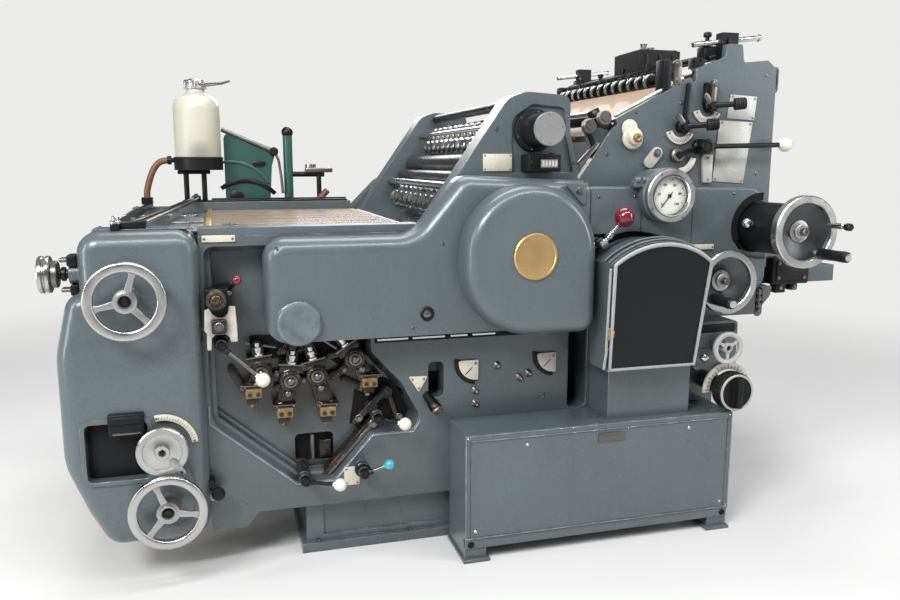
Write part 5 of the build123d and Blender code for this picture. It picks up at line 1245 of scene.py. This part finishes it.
tan_board = board_finish("tan_board", (0.29, 0.215, 0.155, 1), (0.36, 0.28, 0.205, 1), 0.2)
rubbed_board = board_finish("rubbed_board", (0.25, 0.175, 0.12, 1), (0.33, 0.24, 0.17, 1), 0.56, 0.08)
dress(tan_board, "delivery_board", "delivery_pile_board")
dress(rubbed_board, "feed_board")
WHEEL_X, WHEEL_Z = 770.6, 1303
tyres = []
works = [bar((WHEEL_X, -500, WHEEL_Z), (WHEEL_X, 500, WHEEL_Z), 9, pin_black)]
for i in range(13):
    y = -220 + i * 55
    tyres.append(
        turned(ring_section(22.5, 4, 7, 0, 12, 0.8), (WHEEL_X, y, WHEEL_Z), FRONT, rim_aluminium, 32))
    works.append(
        turned([(9, -13), (20, -13), (22, -10), (22, 10), (20, 13), (9, 13)], (WHEEL_X, y, WHEEL_Z), FRONT,
               pin_black, 24))
    works.append(
        block((WHEEL_X - 6, y + 18, WHEEL_Z + 4), (WHEEL_X + 6, y + 26, WHEEL_Z + 40), pin_black, 1.5))
works.append(block((WHEEL_X - 5, -498, WHEEL_Z + 32), (WHEEL_X + 5, 498, WHEEL_Z + 41), pin_black, 1.5))
works += [
    turned([(0, 0), (7, 0), (7, 8), (10, 10), (10, 20), (0, 22)], (WHEEL_X, y, WHEEL_Z + 40), UP, pin_black,
           20)
    for y in (-192, -27, 138, 303)]
works += [
    block((WHEEL_X - 16, side * 478 - 20, 1262), (WHEEL_X + 16, side * 478 + 20, 1346), black_iron, 4)
    for side in (-1, 1)]
piece("feed_wheel_tyres", tyres, "bright_steel", stands_for=("feed_wheels",))
piece("feed_wheel_shaft", works, "black_enamel")
near = [
    block((642, -520, 1240), (668, -474, 1335), black_iron, 4),
    block((664, -512, 1282), (700, -496, 1300), black_iron, 3)]
near += [plate(capsule(687, 1276, 686, 1324, 12), PLATE_FACE, -512, oiled_steel, 2)]
near += hex_bolt((687, PLATE_FACE, 1278), FRONT, 6) + hex_bolt((686, PLATE_FACE, 1322), FRONT, 6)
near += [
    bar((698, -500, 1294), (746, -500, 1306), 8, ivory),
    bar((738, -500, 1304), (760, -500, 1310), 10, pin_black)]
for x, z in ((462, 1172), (418, 1148)):
    near.append(
        turned([(0, 0), (18, 0), (20, 2), (20, 5), (17, 8), (17, 12), (20, 14), (20, 18), (18, 20),
                (10, 20), (9, 23), (0, 23)], (x, -512, z), FRONT, oiled_steel, 32))
near += [
    plate(capsule(462, 1172, 418, 1148, 10), -512, -500, pin_black, 2),
    plate(capsule(418, 1148, 452, 1072, 7), -516, -504, pin_black, 2),
    plate(capsule(440, 1160, 488, 1150, 9), -508, -498, pin_black, 2),
    plate(capsule(398, 1050, 446, 1100, 7), -520, -508, oiled_steel, 2),
    plate(capsule(452, 1072, 470, 1050, 9), -520, PLATE_FACE + 20, pin_black, 2)]
piece("feed_near_gear", near, "black_enamel")
bracket = [
    plate([(404, 1160), (420, 1172), (488, 1172), (500, 1150), (503, 1112), (446, 1064), (430, 1064),
           (424, 1096)], -505, -500, press_enamel, 2)]
bracket += hex_bolt((486, -505, 1116), FRONT, 7) + hex_bolt((446, -505, 1082), FRONT, 7)
piece("feed_side_bracket", bracket, "blue_enamel")
(roll_x, roll_z), (bar_x, bar_z) = on_slope(0, 26), on_slope(0, 49)
ends = [on_slope(-17, 4), on_slope(17, 4), on_slope(17, 60), on_slope(-17, 60)]
cross = [plate(ends, side * 450 - 8, side * 450 + 8, black_iron, 3) for side in (-1, 1)]
cross += [
    turned([(0, 0), (9, 0), (9, 14), (13, 15), (14, 17), (14, 2 * INNER - 17), (13, 2 * INNER - 15),
            (9, 2 * INNER - 14), (9, 2 * INNER), (0, 2 * INNER)], (roll_x, -INNER, roll_z), BACK, pin_black,
           32),
    bar((bar_x, -INNER, bar_z), (bar_x, INNER, bar_z), 7, chrome)]
for x, z in ((roll_x, roll_z), (bar_x, bar_z)):
    cross += hex_bolt((x, -458, z), FRONT, 6)
piece("feed_cross_works", cross, "black_enamel", stands_for=("feed_cross_roller",))


# Feeder head: black cross shaft and suction box between the plate tabs, with a clamp at each end.
# Chromed setting rods run through the clamps and end in small black knobs.
dress(black_iron, "feeder_head")
head = []
for side in (-1, 1):
    y = side * 483
    head.append(
        turned([(0, 0), (6.6, 0), (7.6, 1), (7.6, 214), (10, 215), (10, 222), (8, 224), (0, 224)],
               (752, y, 1382), (222, 0, 28), chrome, 24))
    head += [
        turned([(0, 0), (6, 0), (6, 10), (11, 12), (11, 24), (9, 27), (0, 27)], (864, y + side * -2, 1390),
               (0, side, 0.15), pin_black, 24)]
    head += [
        block((842, y - 14, 1360), (886, y + 14, 1404), oiled_steel, 4, 3),
        bar((826, y, 1352), (804, y, 1346), 9, pin_black)]
    head += hex_bolt((864, y, 1404), UP, 6)
head += [block((806, -84, 1420), (944, 84, 1424), pin_black, 1.5)]
head += [screw((x, y, 1424), UP, 4) for x in (814, 936) for y in (-76, 76)]
head += [
    turned([(0, 0), (15, 0), (15, 6), (10, 8), (10, 18), (12, 19), (12, 23), (0, 24)], (x, y, 1424), UP,
           oiled_steel, 24)
    for x, y in ((840, -40), (910, 36))]
head += [block((x - 5, -88 - 6, 1344), (x + 5, -88, 1408), pin_black, 2) for x in (826, 875, 924)]
head += [
    block((792, -482, 1344), (858, -440, 1382), black_iron, 5, 3),
    bar((812, -462, 1382), (812, -462, 1412), 6, pin_black)]
head += [turned([(0, 0), (10, 0), (12, 3), (12, 10), (9, 14), (0, 14)], (812, -462, 1408), UP, pin_black, 24)]
for i in range(4):
    head.append(
        turned([(0, 0), (11, 0), (11, 10), (8, 14), (8, 26), (14, 30), (16, 34), (14, 35), (0, 33)],
               (875, -66 + i * 44, 1332), (0, 0, -1), ink_rubber, 24))
piece("feeder_head_clamps", head, "bright_steel")
dress(press_enamel, "feeder_table")


# Feeder casing: cast cover under the feeder with the pressure gauge in its ledge.
# Screwed joints show as fine seams; the gauge has a steel bezel, a pale dial and a black pointer.
CASING_FACE = -592
dress(press_enamel, "feeder_casing")
hollow = arc(528, 634, 229, 47, 138, 30)
lining = [plate(hollow, -564, -561, black_iron, 1), block((398, -550, 795), (442, -547, 857), black_iron, 1)]
piece("casing_hollow_lining", lining, "black_enamel")
seams = [
    block((x - 0.8, -592.6, low), (x + 0.8, -590, high), seam_and_shadow_black, 0.2, 1)
    for x, low, high in ((549, 862, 966), (708, 827, 966))]
piece("casing_seams", seams, "black_enamel")
GAUGE_X, GAUGE_Z = 610, 962
GAUGE_FACE = -640
dial_white = enamel(
    "gauge_dial", (0.62, 0.63, 0.58), (0.5, 0.5, 0.5, 1), rough=0.45, wear=0.0, shade_and_dirt=0.4, cloud=0.08,
    coat=0.1)
bezel = [
    turned([(52, 0), (73, 0), (73, 3), (70, 6), (58, 6), (54, 2), (52, 2)], (GAUGE_X, GAUGE_FACE, GAUGE_Z),
           FRONT, aluminium, 64)]
bezel.append(
    turned([(51, 2), (54.5, 3), (55.5, 6.5), (53, 7), (51, 4), (51, 2)], (GAUGE_X, GAUGE_FACE, GAUGE_Z),
           FRONT, chrome, 64))
bezel += screw_ring(GAUGE_X, -646, GAUGE_Z, 66, (30, 120, 210, 300), 3)
face = [turned([(0, 0), (51.5, 0), (51.5, 1.5), (0, 1.5)], (GAUGE_X, -630, GAUGE_Z), FRONT, dial_white, 48)]
marks = [
    plate(strip(GAUGE_X, GAUGE_Z, a, 41 if a % 27 == 0 else 44, 48, 1.3 if a % 27 == 0 else 0.7), -632.2,
          -631, ink_mark, 0.2, 1)
    for a in range(-45, 226, 9)]
marks += [
    plate(strip(GAUGE_X, GAUGE_Z, 232, -14, 40, 2.2), -634.5, -633.4, ink_mark, 0.3, 1),
    turned([(0, 0), (5, 0), (5, 4), (3, 5.5), (0, 5.5)], (GAUGE_X, -631, GAUGE_Z), FRONT, pin_black, 20)]


def numeral(text, x, y, z, size, material):
    """One figure of a scale, cut from thin sheet."""
    deselect()
    bpy.ops.object.text_add()
    figure = bpy.context.object
    figure.data.body = text
    figure.data.size = size * MM
    figure.data.extrude = 0.3 * MM
    figure.data.resolution_u = 3
    figure.data.align_x = "CENTER"
    figure.data.align_y = "CENTER"
    bpy.ops.object.convert(target="MESH")
    bpy.context.object.matrix_world = Matrix.Translation(mm(x, y, z)) @ Matrix.Rotation(radians(90), 4, "X")
    return settled(material)


for i in range(6):
    a = radians(225 - i * 54)
    marks.append(numeral(str(i * 20), GAUGE_X + 32 * cos(a), -632, GAUGE_Z + 32 * sin(a), 10, ink_mark))
piece("gauge_bezel", bezel, "cast_aluminium")
piece("gauge_dial", face, "white_ball")
piece("gauge_marks", marks, "black_enamel")
hood = [
    turned([(66, 0), (76, 0), (76, 30), (73, 34), (66, 34)], (GAUGE_X, CASING_FACE, GAUGE_Z), FRONT,
           press_enamel, 56)]
hood += [bar((532 + d, -612, 1004), (548 + d, -612, 1004), 9, press_enamel) for d in (-18, 4)]
hood += [block((512, -616, 985), (556, CASING_FACE, 1002), press_enamel, 3)]
piece("gauge_hood", hood, "blue_enamel")
casing_bits = [block((706, -596, 808), (781, CASING_FACE, 823), cream_enamel, 1)]
casing_bits += [screw((x, -596, 815), FRONT, 2.6) for x in (711, 776)]
piece("casing_tag_strip", casing_bits, "white_ball")
casing_screws = [
    screw((x, CASING_FACE, z), FRONT, 4.5)
    for x, z in ((420, 960), (528, 960), (690, 950), (840, 965), (846, 800), (672, 792), (424, 712))]
casing_screws += hex_bolt((446, CASING_FACE, 778), FRONT, 9, chrome)
piece("casing_screws", casing_screws, "bright_steel")


# Main lever: heavy maroon ball on a chromed rod, out of the hollow beside the pump.
# The ball is screwed on, and the rod turns on a pin in a bay of the casing.
MAIN_X, MAIN_Y, MAIN_Z = 408, -650, 838
works = [
    turned([(0, 0), (8, 0), (8, 44), (13, 46), (13, 64), (10, 68), (0, 68)], (MAIN_X, CASING_FACE, MAIN_Z),
           FRONT, chrome, 28),
    bar((MAIN_X, MAIN_Y, MAIN_Z), (456, MAIN_Y, 894), 6, chrome),
    bar((422, MAIN_Y, 854), (432, MAIN_Y, 866), 9, chrome)]
works.append(
    turned([(13.2, 40), (16, 42), (16, 48), (13.2, 50)], (MAIN_X, CASING_FACE, MAIN_Z), FRONT, pin_black,
           28))
piece("main_lever_rod", works, "bright_steel", "main_lever")
piece(
    "main_lever_ball", [turned(ball_profile(27, 9), (468, MAIN_Y, 908), (60, 0, 70), maroon, 56)],
    "red_ball", "main_lever", ("main_lever",))


# Pump housing: arched case with a leaning front, on a pedestal that stands on the cabinet.
# Its blank black panel sits in a bright cast frame and swings on a small brass hinge.
dress(press_enamel, "pump_housing")
dress(black_iron, "panel_plate")
PUMP_X, PUMP_Y, PUMP_Z = 540, -690, 500
LEAN = radians(8)
bright_trim = enamel(
    "bright_trim", (0.30, 0.315, 0.32), (0.6, 0.6, 0.6, 1), rough=0.34, wear=0.5, shade_and_dirt=0.7, edge=0.002)


def on_panel(across, up, out):
    """Point on the leaning panel, measured across, up its face and out of it."""
    return (
        PUMP_X + across, PUMP_Y - up * sin(LEAN) - out * cos(LEAN),
        PUMP_Z + up * cos(LEAN) - out * sin(LEAN))


def arch_line(inset, out, foot=True):
    """Line round the arched panel, inset from the case."""
    low, wide, shoulder, crown = 134 - inset, 147 - inset, 296, 354 - inset
    rise = crown - shoulder
    radius = (wide * wide + rise * rise) / (2 * rise)
    half = atan2(wide, radius - rise)
    top = [
        (radius * sin(half - 2 * half * i / 28), crown - radius + radius * cos(half - 2 * half * i / 28))
        for i in range(29)]
    line = [(low, inset)] + top + [(-low, inset)] if foot else top
    return [on_panel(u, v, out) for u, v in line]


frame_bead = [trim(arch_line(7, 9), 5.5, bright_trim, True)]
frame_bead.append(bar(on_panel(-140, 60, 4), on_panel(-150, 286, 4), 4, bright_trim))
frame_bead.append(bar(on_panel(-142, 8, 4), on_panel(-138, 70, 4), 4, bright_trim))
piece("panel_frame", frame_bead, "cast_aluminium")
ribs = [trim(arch_line(-1, -d, False), 3.5, press_enamel) for d in (14, 38)]
piece("pump_arch_ribs", ribs, "blue_enamel")
hinge = [
    bar(on_panel(-137, 92, 6), on_panel(-138, 126, 6), 6, oily_brass),
    bar(on_panel(-128, 100, 8), on_panel(-128, 118, 8), 5, oily_brass)]
piece("panel_hinge", hinge, "bearing_brass")


# Cranks: wide turned aluminium rims on graphite dished webs, with aluminium hubs and black grips.
# The upper one runs on a black drum that stands out of the casing.
dress(black_iron, "crank_drum")
web_grey = metal("graphite_web", (0.085, 0.09, 0.095), 0.36, shade_and_dirt=0.7, cloud=0.3)


def crank(name, x, z, back, outer, deep, grip, length):
    """Rim, dish, stepped hub and turned grip of one crank."""
    inner = outer - 20
    bright = [
        turned([(inner, deep - 3), (outer - 2, deep - 2), (outer, deep), (outer, deep + 21),
                (outer - 3, deep + 24), (inner + 2, deep + 24), (inner, deep + 22), (inner, deep - 3)],
               (x, -back, z), FRONT, rim_aluminium, 72)]
    bright.append(
        turned([(0, 14), (30, 14), (30, 18), (24, 20), (20, 20), (20, 27), (17, 29), (13, 29), (12, 31),
                (0, 31)], (x, -back, z), FRONT, aluminium, 40))
    bright.append(
        turned([(0, 30), (10, 30), (10, 44), (8, 47), (4, 47), (3, 44), (0, 44)], (x, -back, z), FRONT,
               oiled_steel, 32))
    gx, gz = x + grip[0], z + grip[1]
    start = -back - deep * 0.6
    end = -back - deep - 24
    bright.append(bar((gx, start, gz), (gx, end - 6, gz), 8, chrome))
    bright.append(turned([(0, 0), (10, 0), (10, 4), (0, 5)], (gx, end - length + 2, gz), FRONT, chrome, 24))
    piece(name + "_rim", bright, "cast_aluminium", name, (name,))
    web = [
        turned([(8, 0), (28, 0), (28, 8), (inner + 1, deep - 3), (inner + 1, deep + 9),
                (inner - 6, deep + 7), (30, 15), (8, 15)], (x, -back, z), FRONT, web_grey, 64),
        turned([(0, 0), (13, 0), (15, 4), (15, length * 0.35), (14, length * 0.6), (15, length * 0.85),
                (14, length - 3), (11, length), (0, length)], (gx, end, gz), FRONT, black_iron, 32),
        bar((x, -back + 6, z), (x, -back - 14, z), 9, pin_black)]
    return web


CRANK_X, CRANK_Z = 935, 868
web = crank("feed_crank_upper", CRANK_X, CRANK_Z, 738, 97, 26, (44, -58), 103)
web.append(
    turned([(0, 0), (7.5, 0), (8, 2), (8, 58), (6, 60), (6, 72), (0, 72)], (1015, -768, 884), FRONT, chrome,
           28))
web.append(
    turned([(0, 0), (9, 0), (10, 3), (10, 15), (8, 18), (0, 18)], (1015, -836, 884), FRONT, pin_black, 24))
piece("feed_crank_upper_web", web, "black_enamel", "feed_crank_upper")
piece(
    "feed_crank_lower_web", crank("feed_crank_lower", 784, 724, 617, 89, 34, (-52, -44), 93),
    "black_enamel", "feed_crank_lower")
drum_bits = [turned(ball_profile(14, 6), (846, -650, 885), (-1, 0, 0.17), chrome, 32)]
drum_bits.append(
    turned([(72.5, 0), (76, 0), (76, 6), (72.5, 8)], (CRANK_X, -560, CRANK_Z), FRONT, pin_black, 48))
piece("drum_ball_stop", drum_bits, "bright_steel")
# A flat black crescent round the drum paints the shadow in the gap between drum and casing.
piece(
    "drum_shadow_crescent", [plate(band(CRANK_X, CRANK_Z, 77, 99, 88, 206, 26), -593, -590, seam_and_shadow_black, 0.6, 1)],
    "black_enamel")


# Bracket, control box and regulator: castings that step down below the casing.
# A small white handwheel, a ball catch and a black regulator knob over its scale work the air.
dress(press_enamel, "right_bracket", "control_box")
white_wheel = enamel(
    "white_wheel", (0.36, 0.36, 0.345), (0.5, 0.5, 0.5, 1), rough=0.34, wear=0.4, shade_and_dirt=0.5, edge=0.001)
wheel(
    "small_wheel", 783, 540, 46, 13, 14, 15, 655, -692, 9, 30, "small_handwheel", "cast_aluminium",
    white_wheel, white_wheel)
box_bits = [
    block((716, -640, 486), (752, -622, 528), press_enamel, 5, 3),
    turned(ball_profile(13, 6), (734, -648, 508), FRONT, chrome, 32)]
for z in (672, 652, 632, 616):
    box_bits += hex_bolt((966, -562, z), FRONT, 7)
box_bits += [plate(capsule(966, 676, 966, 612, 14), -562, -556, press_enamel, 2)]
box_bits += [block((722, -634, 574), (842, -618, 598), black_iron, 5, 3)]
box_bits += [
    block((1010, -560, 691), (1140, FRAME_FACE, 774), black_iron, 6, 3),
    block((1022, -564, 704), (1128, -559, 762), pin_black, 3)]
box_bits += [
    block((1030, -552, 664), (1066, FRAME_FACE, 691), black_iron, 4),
    block((1084, -548, 670), (1112, FRAME_FACE, 691), pin_black, 4)]
for x, z in ((1030, 755), (1120, 755), (1030, 711), (1120, 711)):
    box_bits += hex_bolt((x, -564, z), FRONT, 4)
for x in (1048, 1098):
    box_bits += hex_bolt((x, -550, 678), FRONT, 6)
piece("bracket_fittings", box_bits, "black_enamel")
REG_X, REG_Y, REG_Z = 818, -645, 409
reg_scale = [
    plate(band(REG_X, REG_Z, 57, 77, 4, 186, 32), -642, -634, cream_enamel, 1.2),
    plate(capsule(REG_X, REG_Z, REG_X - 50, REG_Z + 40, 10), -634, -622, oiled_steel, 2)]
reg_scale += [
    plate(strip(REG_X, REG_Z, a, 60, 74 if a % 30 == 0 else 68, 1.4), -642.8, -641.6, ink_mark, 0.2, 1)
    for a in range(10, 186, 10)]
piece("regulator_scale", reg_scale, "white_ball")
grip_drum = [(8, -5), (8, 0), (48, 0), (54, 3), (54, 41), (52, 44), (46, 45), (44, 42), (10, 40), (0, 40)]
reg = [
    turned(grip_drum, (REG_X, REG_Y, REG_Z), FRONT, black_iron, 60),
    block((REG_X - 8, -709, REG_Z - 42), (REG_X + 8, -682, REG_Z + 42), black_iron, 4, 3)]
GRIP_RIBS = 48
for i in range(GRIP_RIBS):
    a = 2 * pi * i / GRIP_RIBS
    x, z = REG_X + 54 * cos(a), REG_Z + 54 * sin(a)
    reg.append(bar((x, -649, z), (x, -685, z), 1.7, black_iron, 0.5, 6))
piece("regulator_grip", reg, "black_enamel", "regulator_knob", ("regulator_knob",))
piece(
    "regulator_ring",
    [turned([(46, 41), (52.6, 41), (52.6, 45), (50.5, 47), (46.5, 46.5), (46, 41)], (REG_X, REG_Y, REG_Z),
            FRONT, white_wheel, 60)], "cast_aluminium", "regulator_knob")


# Electrical cabinet: folded sheet steel box on two channel feet, its front panel held by four screws.
# A small blank metal plate, a catch and a slot are on the panel and the top.
CAB_FACE, CAB_TRIM = -672, -679
CAB_LEFT, CAB_RIGHT, CAB_TOP = 20, 815, 350
dress(press_enamel, "cabinet_body", "cabinet_feet", "cabinet_panel")
cab_steel = metal("dull_plate", (0.16, 0.155, 0.14), 0.48, shade_and_dirt=0.6)
cab_frame = [
    block((CAB_LEFT, CAB_TRIM, 336), (CAB_RIGHT, CAB_FACE, CAB_TOP), press_enamel, 2),
    block((CAB_LEFT, CAB_TRIM, 60), (33, CAB_FACE, CAB_TOP), press_enamel, 2),
    block((802, CAB_TRIM, 60), (CAB_RIGHT, CAB_FACE, CAB_TOP), press_enamel, 2)]
cab_frame += [block((CAB_LEFT, -676, 36), (CAB_RIGHT, -660, 66), press_enamel, 2)]
cab_frame += [block((x, -684, 0), (x + 74, FRAME_FACE, 9), press_enamel, 2) for x in (14, 747)]
piece("cabinet_frame", cab_frame, "blue_enamel")
# Thin bars along the cabinet frame's edges paint their highlights in the lighter rubbed enamel.
lines = [
    ((20, 349), (815, 349)), ((34, 335), (801, 335)), ((21, 62), (21, 348)), ((814, 62), (814, 348)),
    ((21, 66), (814, 66))]
highlight_bars = [bar((x0, CAB_TRIM, z0), (x1, CAB_TRIM, z1), 1.5, worn_highlight_edge, 0.4, 8) for (x0, z0), (x1, z1) in lines]
piece("cabinet_worn_highlight_edges", highlight_bars, "blue_enamel")
CATCH_X, CATCH_Y = 717, -588
cab_bits = [
    block((398, -680, 299), (477, -677, 325), cab_steel, 1.2),
    block((CATCH_X - 18, CATCH_Y - 11, CAB_TOP), (CATCH_X + 18, CATCH_Y + 11, 356), chrome, 2),
    bar((CATCH_X, CATCH_Y, 355), (CATCH_X, CATCH_Y, 384), 6, oiled_steel),
    # The slot on the top is a flat black sheet, painted shade.
    block((756, -556, 349.5), (780, -547, 350.6), seam_and_shadow_black, 0.3, 1)]
cab_bits += [
    screw((x, -677, z), FRONT, 4.5, chrome)
    for x, z in ((192, 312), (677, 315), (48, 84), (788, 84))]
cab_bits += [screw((x, CAB_TRIM, z), FRONT, 3, chrome) for x, z in ((27, 343), (808, 343), (808, 70))]
for x in (36, 800):
    cab_bits.append(turned([(0, 0), (9, 0), (9, 1), (0, 1)], (x, -676, 48), FRONT, seam_and_shadow_black, 20))
piece("cabinet_fittings", cab_bits, "bright_steel")


# Delivery top: steel table between rails, with the board on it and dark setting bars at its outer end.
# A brass strip and two clips hold the board; clamps at both ends hold the bars.
dress(press_enamel, "delivery_rails")
table_steel = metal("table_steel", (0.30, 0.31, 0.32), 0.36, shade_and_dirt=0.7)
dress(table_steel, "delivery_table")
dress(black_iron, "delivery_bar", "bottle_stand")
strips = [block((-606, -436, 881), (-590, 392, 891), brass, 1.5)]
piece("board_strip", strips, "bearing_brass")
clips = [block((-560, y, 886), (-520, y + 24, 890), oiled_steel, 1) for y in (-424, -360)]
clips += [screw((-540, y + 12, 890), UP, 4) for y in (-424, -360)]
piece("board_clips", clips, "bright_steel")
bars = [
    bar((-782, -504, 903), (-650, 404, 926), 6, pin_black),
    bar((-752, -504, 903), (-634, 404, 926), 6, oiled_steel),
    block((-796, -540, 892), (-738, -496, 914), pin_black, 4),
    block((-658, 396, 915), (-626, 440, 937), pin_black, 4)]
bars += hex_bolt((-767, -526, 914), UP, 7) + hex_bolt((-642, 424, 937), UP, 7)
piece("setting_bars", bars, "black_enamel", stands_for=("delivery_linkage",))
rear = [
    block((-600, 398, 915), (-110, 408, 922), pin_black, 2),
    block((-590, 428, 915), (-110, 438, 927), black_iron, 2)]
for x in (-560, -420, -280, -160):
    rear += hex_bolt((x, 418, 915), UP, 6)
rear.append(
    turned([(0, 0), (14, 0), (14, 5), (9, 8), (9, 16), (6, 18), (0, 18)], (-806, -530, 908), UP, chrome,
           28))
piece("rear_rail_strips", rear, "black_enamel")
end_plate = [
    block((-720, -442, 868), (-600, 442, 880), table_steel, 2),
    block((-700, -180, 880), (-612, 120, 886), table_steel, 2)]
end_plate += [block((-880, y, 868), (-720, y + 40, 880), table_steel, 3) for y in (-420, 300)]
end_plate.append(
    turned([(14, 0), (22, 0), (24, 3), (24, 6), (20, 8), (14, 7), (14, 0)], (-656, 40, 886), UP, chrome,
           36))
end_plate += [screw((-656, y, 886), UP, 5) for y in (-160, 100)]
piece("delivery_end_works", end_plate, "bright_steel", stands_for=("delivery_end_plate",))


# Powder bottle: cloudy plastic, standing in a black cup on two posts, with a metal cap and a wire bail.
# The posts have small foot flanges, and a collar grips the hose on the cup's nipple.
CUP_X, CUP_Y = -628, 440
milk, tree, paint = blank_material("cloudy_bottle")
uneven = use(tree, MOTTLE, Coarse=7.0)
shade_and_grime = use(tree, CORNER_SHADE_AND_GRIME, Reach=0.03, Patch=20.0)
tint = mixed(tree, uneven.outputs["Cloud"], (0.46, 0.45, 0.36, 1), (0.60, 0.595, 0.51, 1))
# Painted shade low on the bottle's front, just above its cup.
tint = mixed(
    tree, scaled(tree, smear(tree, (-0.622, 0.36, 1.085), (0.05, 0.09, 0.05)), 0.55), tint,
    (0.16, 0.165, 0.15, 1))
# Painted shade and grime darken the corners towards brown.
tree.links.new(
    mixed(tree, scaled(tree, shade_and_grime.outputs["Mask"], 0.5), tint, (0.25, 0.20, 0.12, 1)),
    paint.inputs["Base Color"])
tree.links.new(spread(tree, uneven.outputs["Cloud"], 0.3, 0.7, 0.24, 0.42), paint.inputs["Roughness"])
paint.inputs["Subsurface Weight"].default_value = 0.35
paint.inputs["Subsurface Radius"].default_value = (0.03, 0.028, 0.018)
bottle = [
    turned([(0, 1040), (70, 1040), (76, 1044), (78, 1050), (78, 1236), (76, 1252), (70, 1266), (60, 1276),
            (46, 1282), (36, 1286), (32, 1292), (32, 1308), (30, 1312), (0, 1312)], (CUP_X, CUP_Y, 0), UP,
           milk, 64)]
piece("bottle_body", bottle, "bottle_plastic", stands_for=("spray_bottle",))
cap = [
    turned([(0, 1304), (37, 1304), (38, 1308), (38, 1330), (35, 1334), (22, 1335), (20, 1338), (0, 1338)],
           (CUP_X, CUP_Y, 0), UP, chrome, 40),
    trim([(-628, 402, 1318), (-596, 398, 1320), (-540, 420, 1326), (-512, 440, 1334), (-540, 460, 1326),
          (-596, 482, 1320), (-628, 478, 1318)], 3.4, oiled_steel)]
CAP_RIBS = 24
for i in range(CAP_RIBS):
    a = 2 * pi * i / CAP_RIBS
    x, y = CUP_X + 38.5 * cos(a), CUP_Y + 38.5 * sin(a)
    cap.append(bar((x, y, 1308), (x, y, 1328), 2, chrome, 0.6, 8))
piece("bottle_cap", cap, "bright_steel")
cup_rim = [
    turned([(80, 0), (84.5, 0), (84.5, 6), (82, 8), (80, 8), (80, 0)], (CUP_X, CUP_Y, 1063), UP, black_iron,
           56),
    turned([(11.3, 0), (15, 0), (15, 12), (13, 14), (11.3, 14), (11.3, 0)], HOSE_ROUTE[0], LEFT, pin_black,
           28)]
cup_rim += [
    turned([(0, 0), (18, 0), (18, 4), (12, 8), (0, 8)], (x, 418, 915), UP, pin_black, 28)
    for x in (-672, -612)]
cup_rim += [block((-700, 404, 1012), (-590, 432, 1026), black_iron, 4)]
piece("bottle_cup_rim", cup_rim, "black_enamel")


# Spray unit: green enamelled casting on the drive side frame, with a dark arm along its sloping top.
# A steel pipe, a ball-topped post and small blocks are fixed beside it.
green_enamel = enamel("green_enamel", (0.022, 0.080, 0.068), WORN_METAL, rough=0.3)
dress(green_enamel, "spray_casting")
FACE_Y = 486
arm = [
    bar((-546, FACE_Y + 6, 1170), (-366, FACE_Y - 4, 1094), 9, oiled_steel),
    turned([(0, 0), (16, 0), (16, 12), (12, 16), (0, 16)], (-364, FACE_Y, 1092), FRONT, pin_black, 28),
    trim([(-360, FACE_Y - 8, 1090), (-348, FACE_Y - 8, 1060), (-340, FACE_Y - 8, 1000),
          (-336, FACE_Y - 8, 940)], 5, oiled_steel),
    block((-440, FACE_Y - 14, 1042), (-396, FACE_Y, 1058), pin_black, 3)]
arm += [
    turned([(0, 0), (24, 0), (24, 4), (20, 6), (0, 6)], (-500, FACE_Y, 930), FRONT, pin_black, 36),
    plate(band(-470, 850, 130, 146, 40, 128, 20), FACE_Y - 8, FACE_Y, pin_black, 2)]
arm += [
    bar((-312, 500, 1010), (-180, 500, 1010), 10, pin_black),
    block((-250, 480, 1016), (-150, 520, 1034), oiled_steel, 4),
    bar((-200, 500, 900), (-200, 500, 1016), 9, pin_black),
    turned([(0, 0), (20, 0), (20, 12), (0, 14)], (-230, 500, 1034), UP, chrome, 28)]
arm += [
    bar((-240, 490, 880), (-170, 490, 950), 12, hose_rubber),
    block((-262, 476, 872), (-150, 522, 886), pin_black, 4)]
piece("spray_arm", arm, "bright_steel")
rib = [plate(band(-520, 900, 150, 160, 30, 100, 18), FACE_Y - 5, FACE_Y, green_enamel, 2)]
piece("spray_rib", rib, "green_enamel")
piece("spray_post_ball", [turned(ball_profile(21, 10), (-312, 500, 1162), UP, pin_black, 40)], "black_enamel")


# Gear guard: cast cover over the gears on the drive side, with an oil filler and louvres.
# Hexagon bolts round its edge hold it to the frame.
dress(press_enamel, "drive_guard")
guard_bits = [
    turned([(0, 0), (20, 0), (20, 6), (16, 9), (16, 20), (12, 24), (0, 24)], (-300, 632, 800), BACK,
           black_iron, 36)]
GUARD_BOLTS = (
    (-410, 470), (-410, 820), (-40, 470), (350, 470), (350, 940), (60, 950), (-180, 840), (160, 470))
for x, z in GUARD_BOLTS:
    guard_bits += hex_bolt((x, 631, z), BACK, 8)
piece("guard_fittings", guard_bits, "black_enamel")
louvres = [block((90 + i * 34, 628, 600), (110 + i * 34, 640, 760), press_enamel, 5, 3) for i in range(7)]
piece("guard_louvres", louvres, "blue_enamel")

deselect()
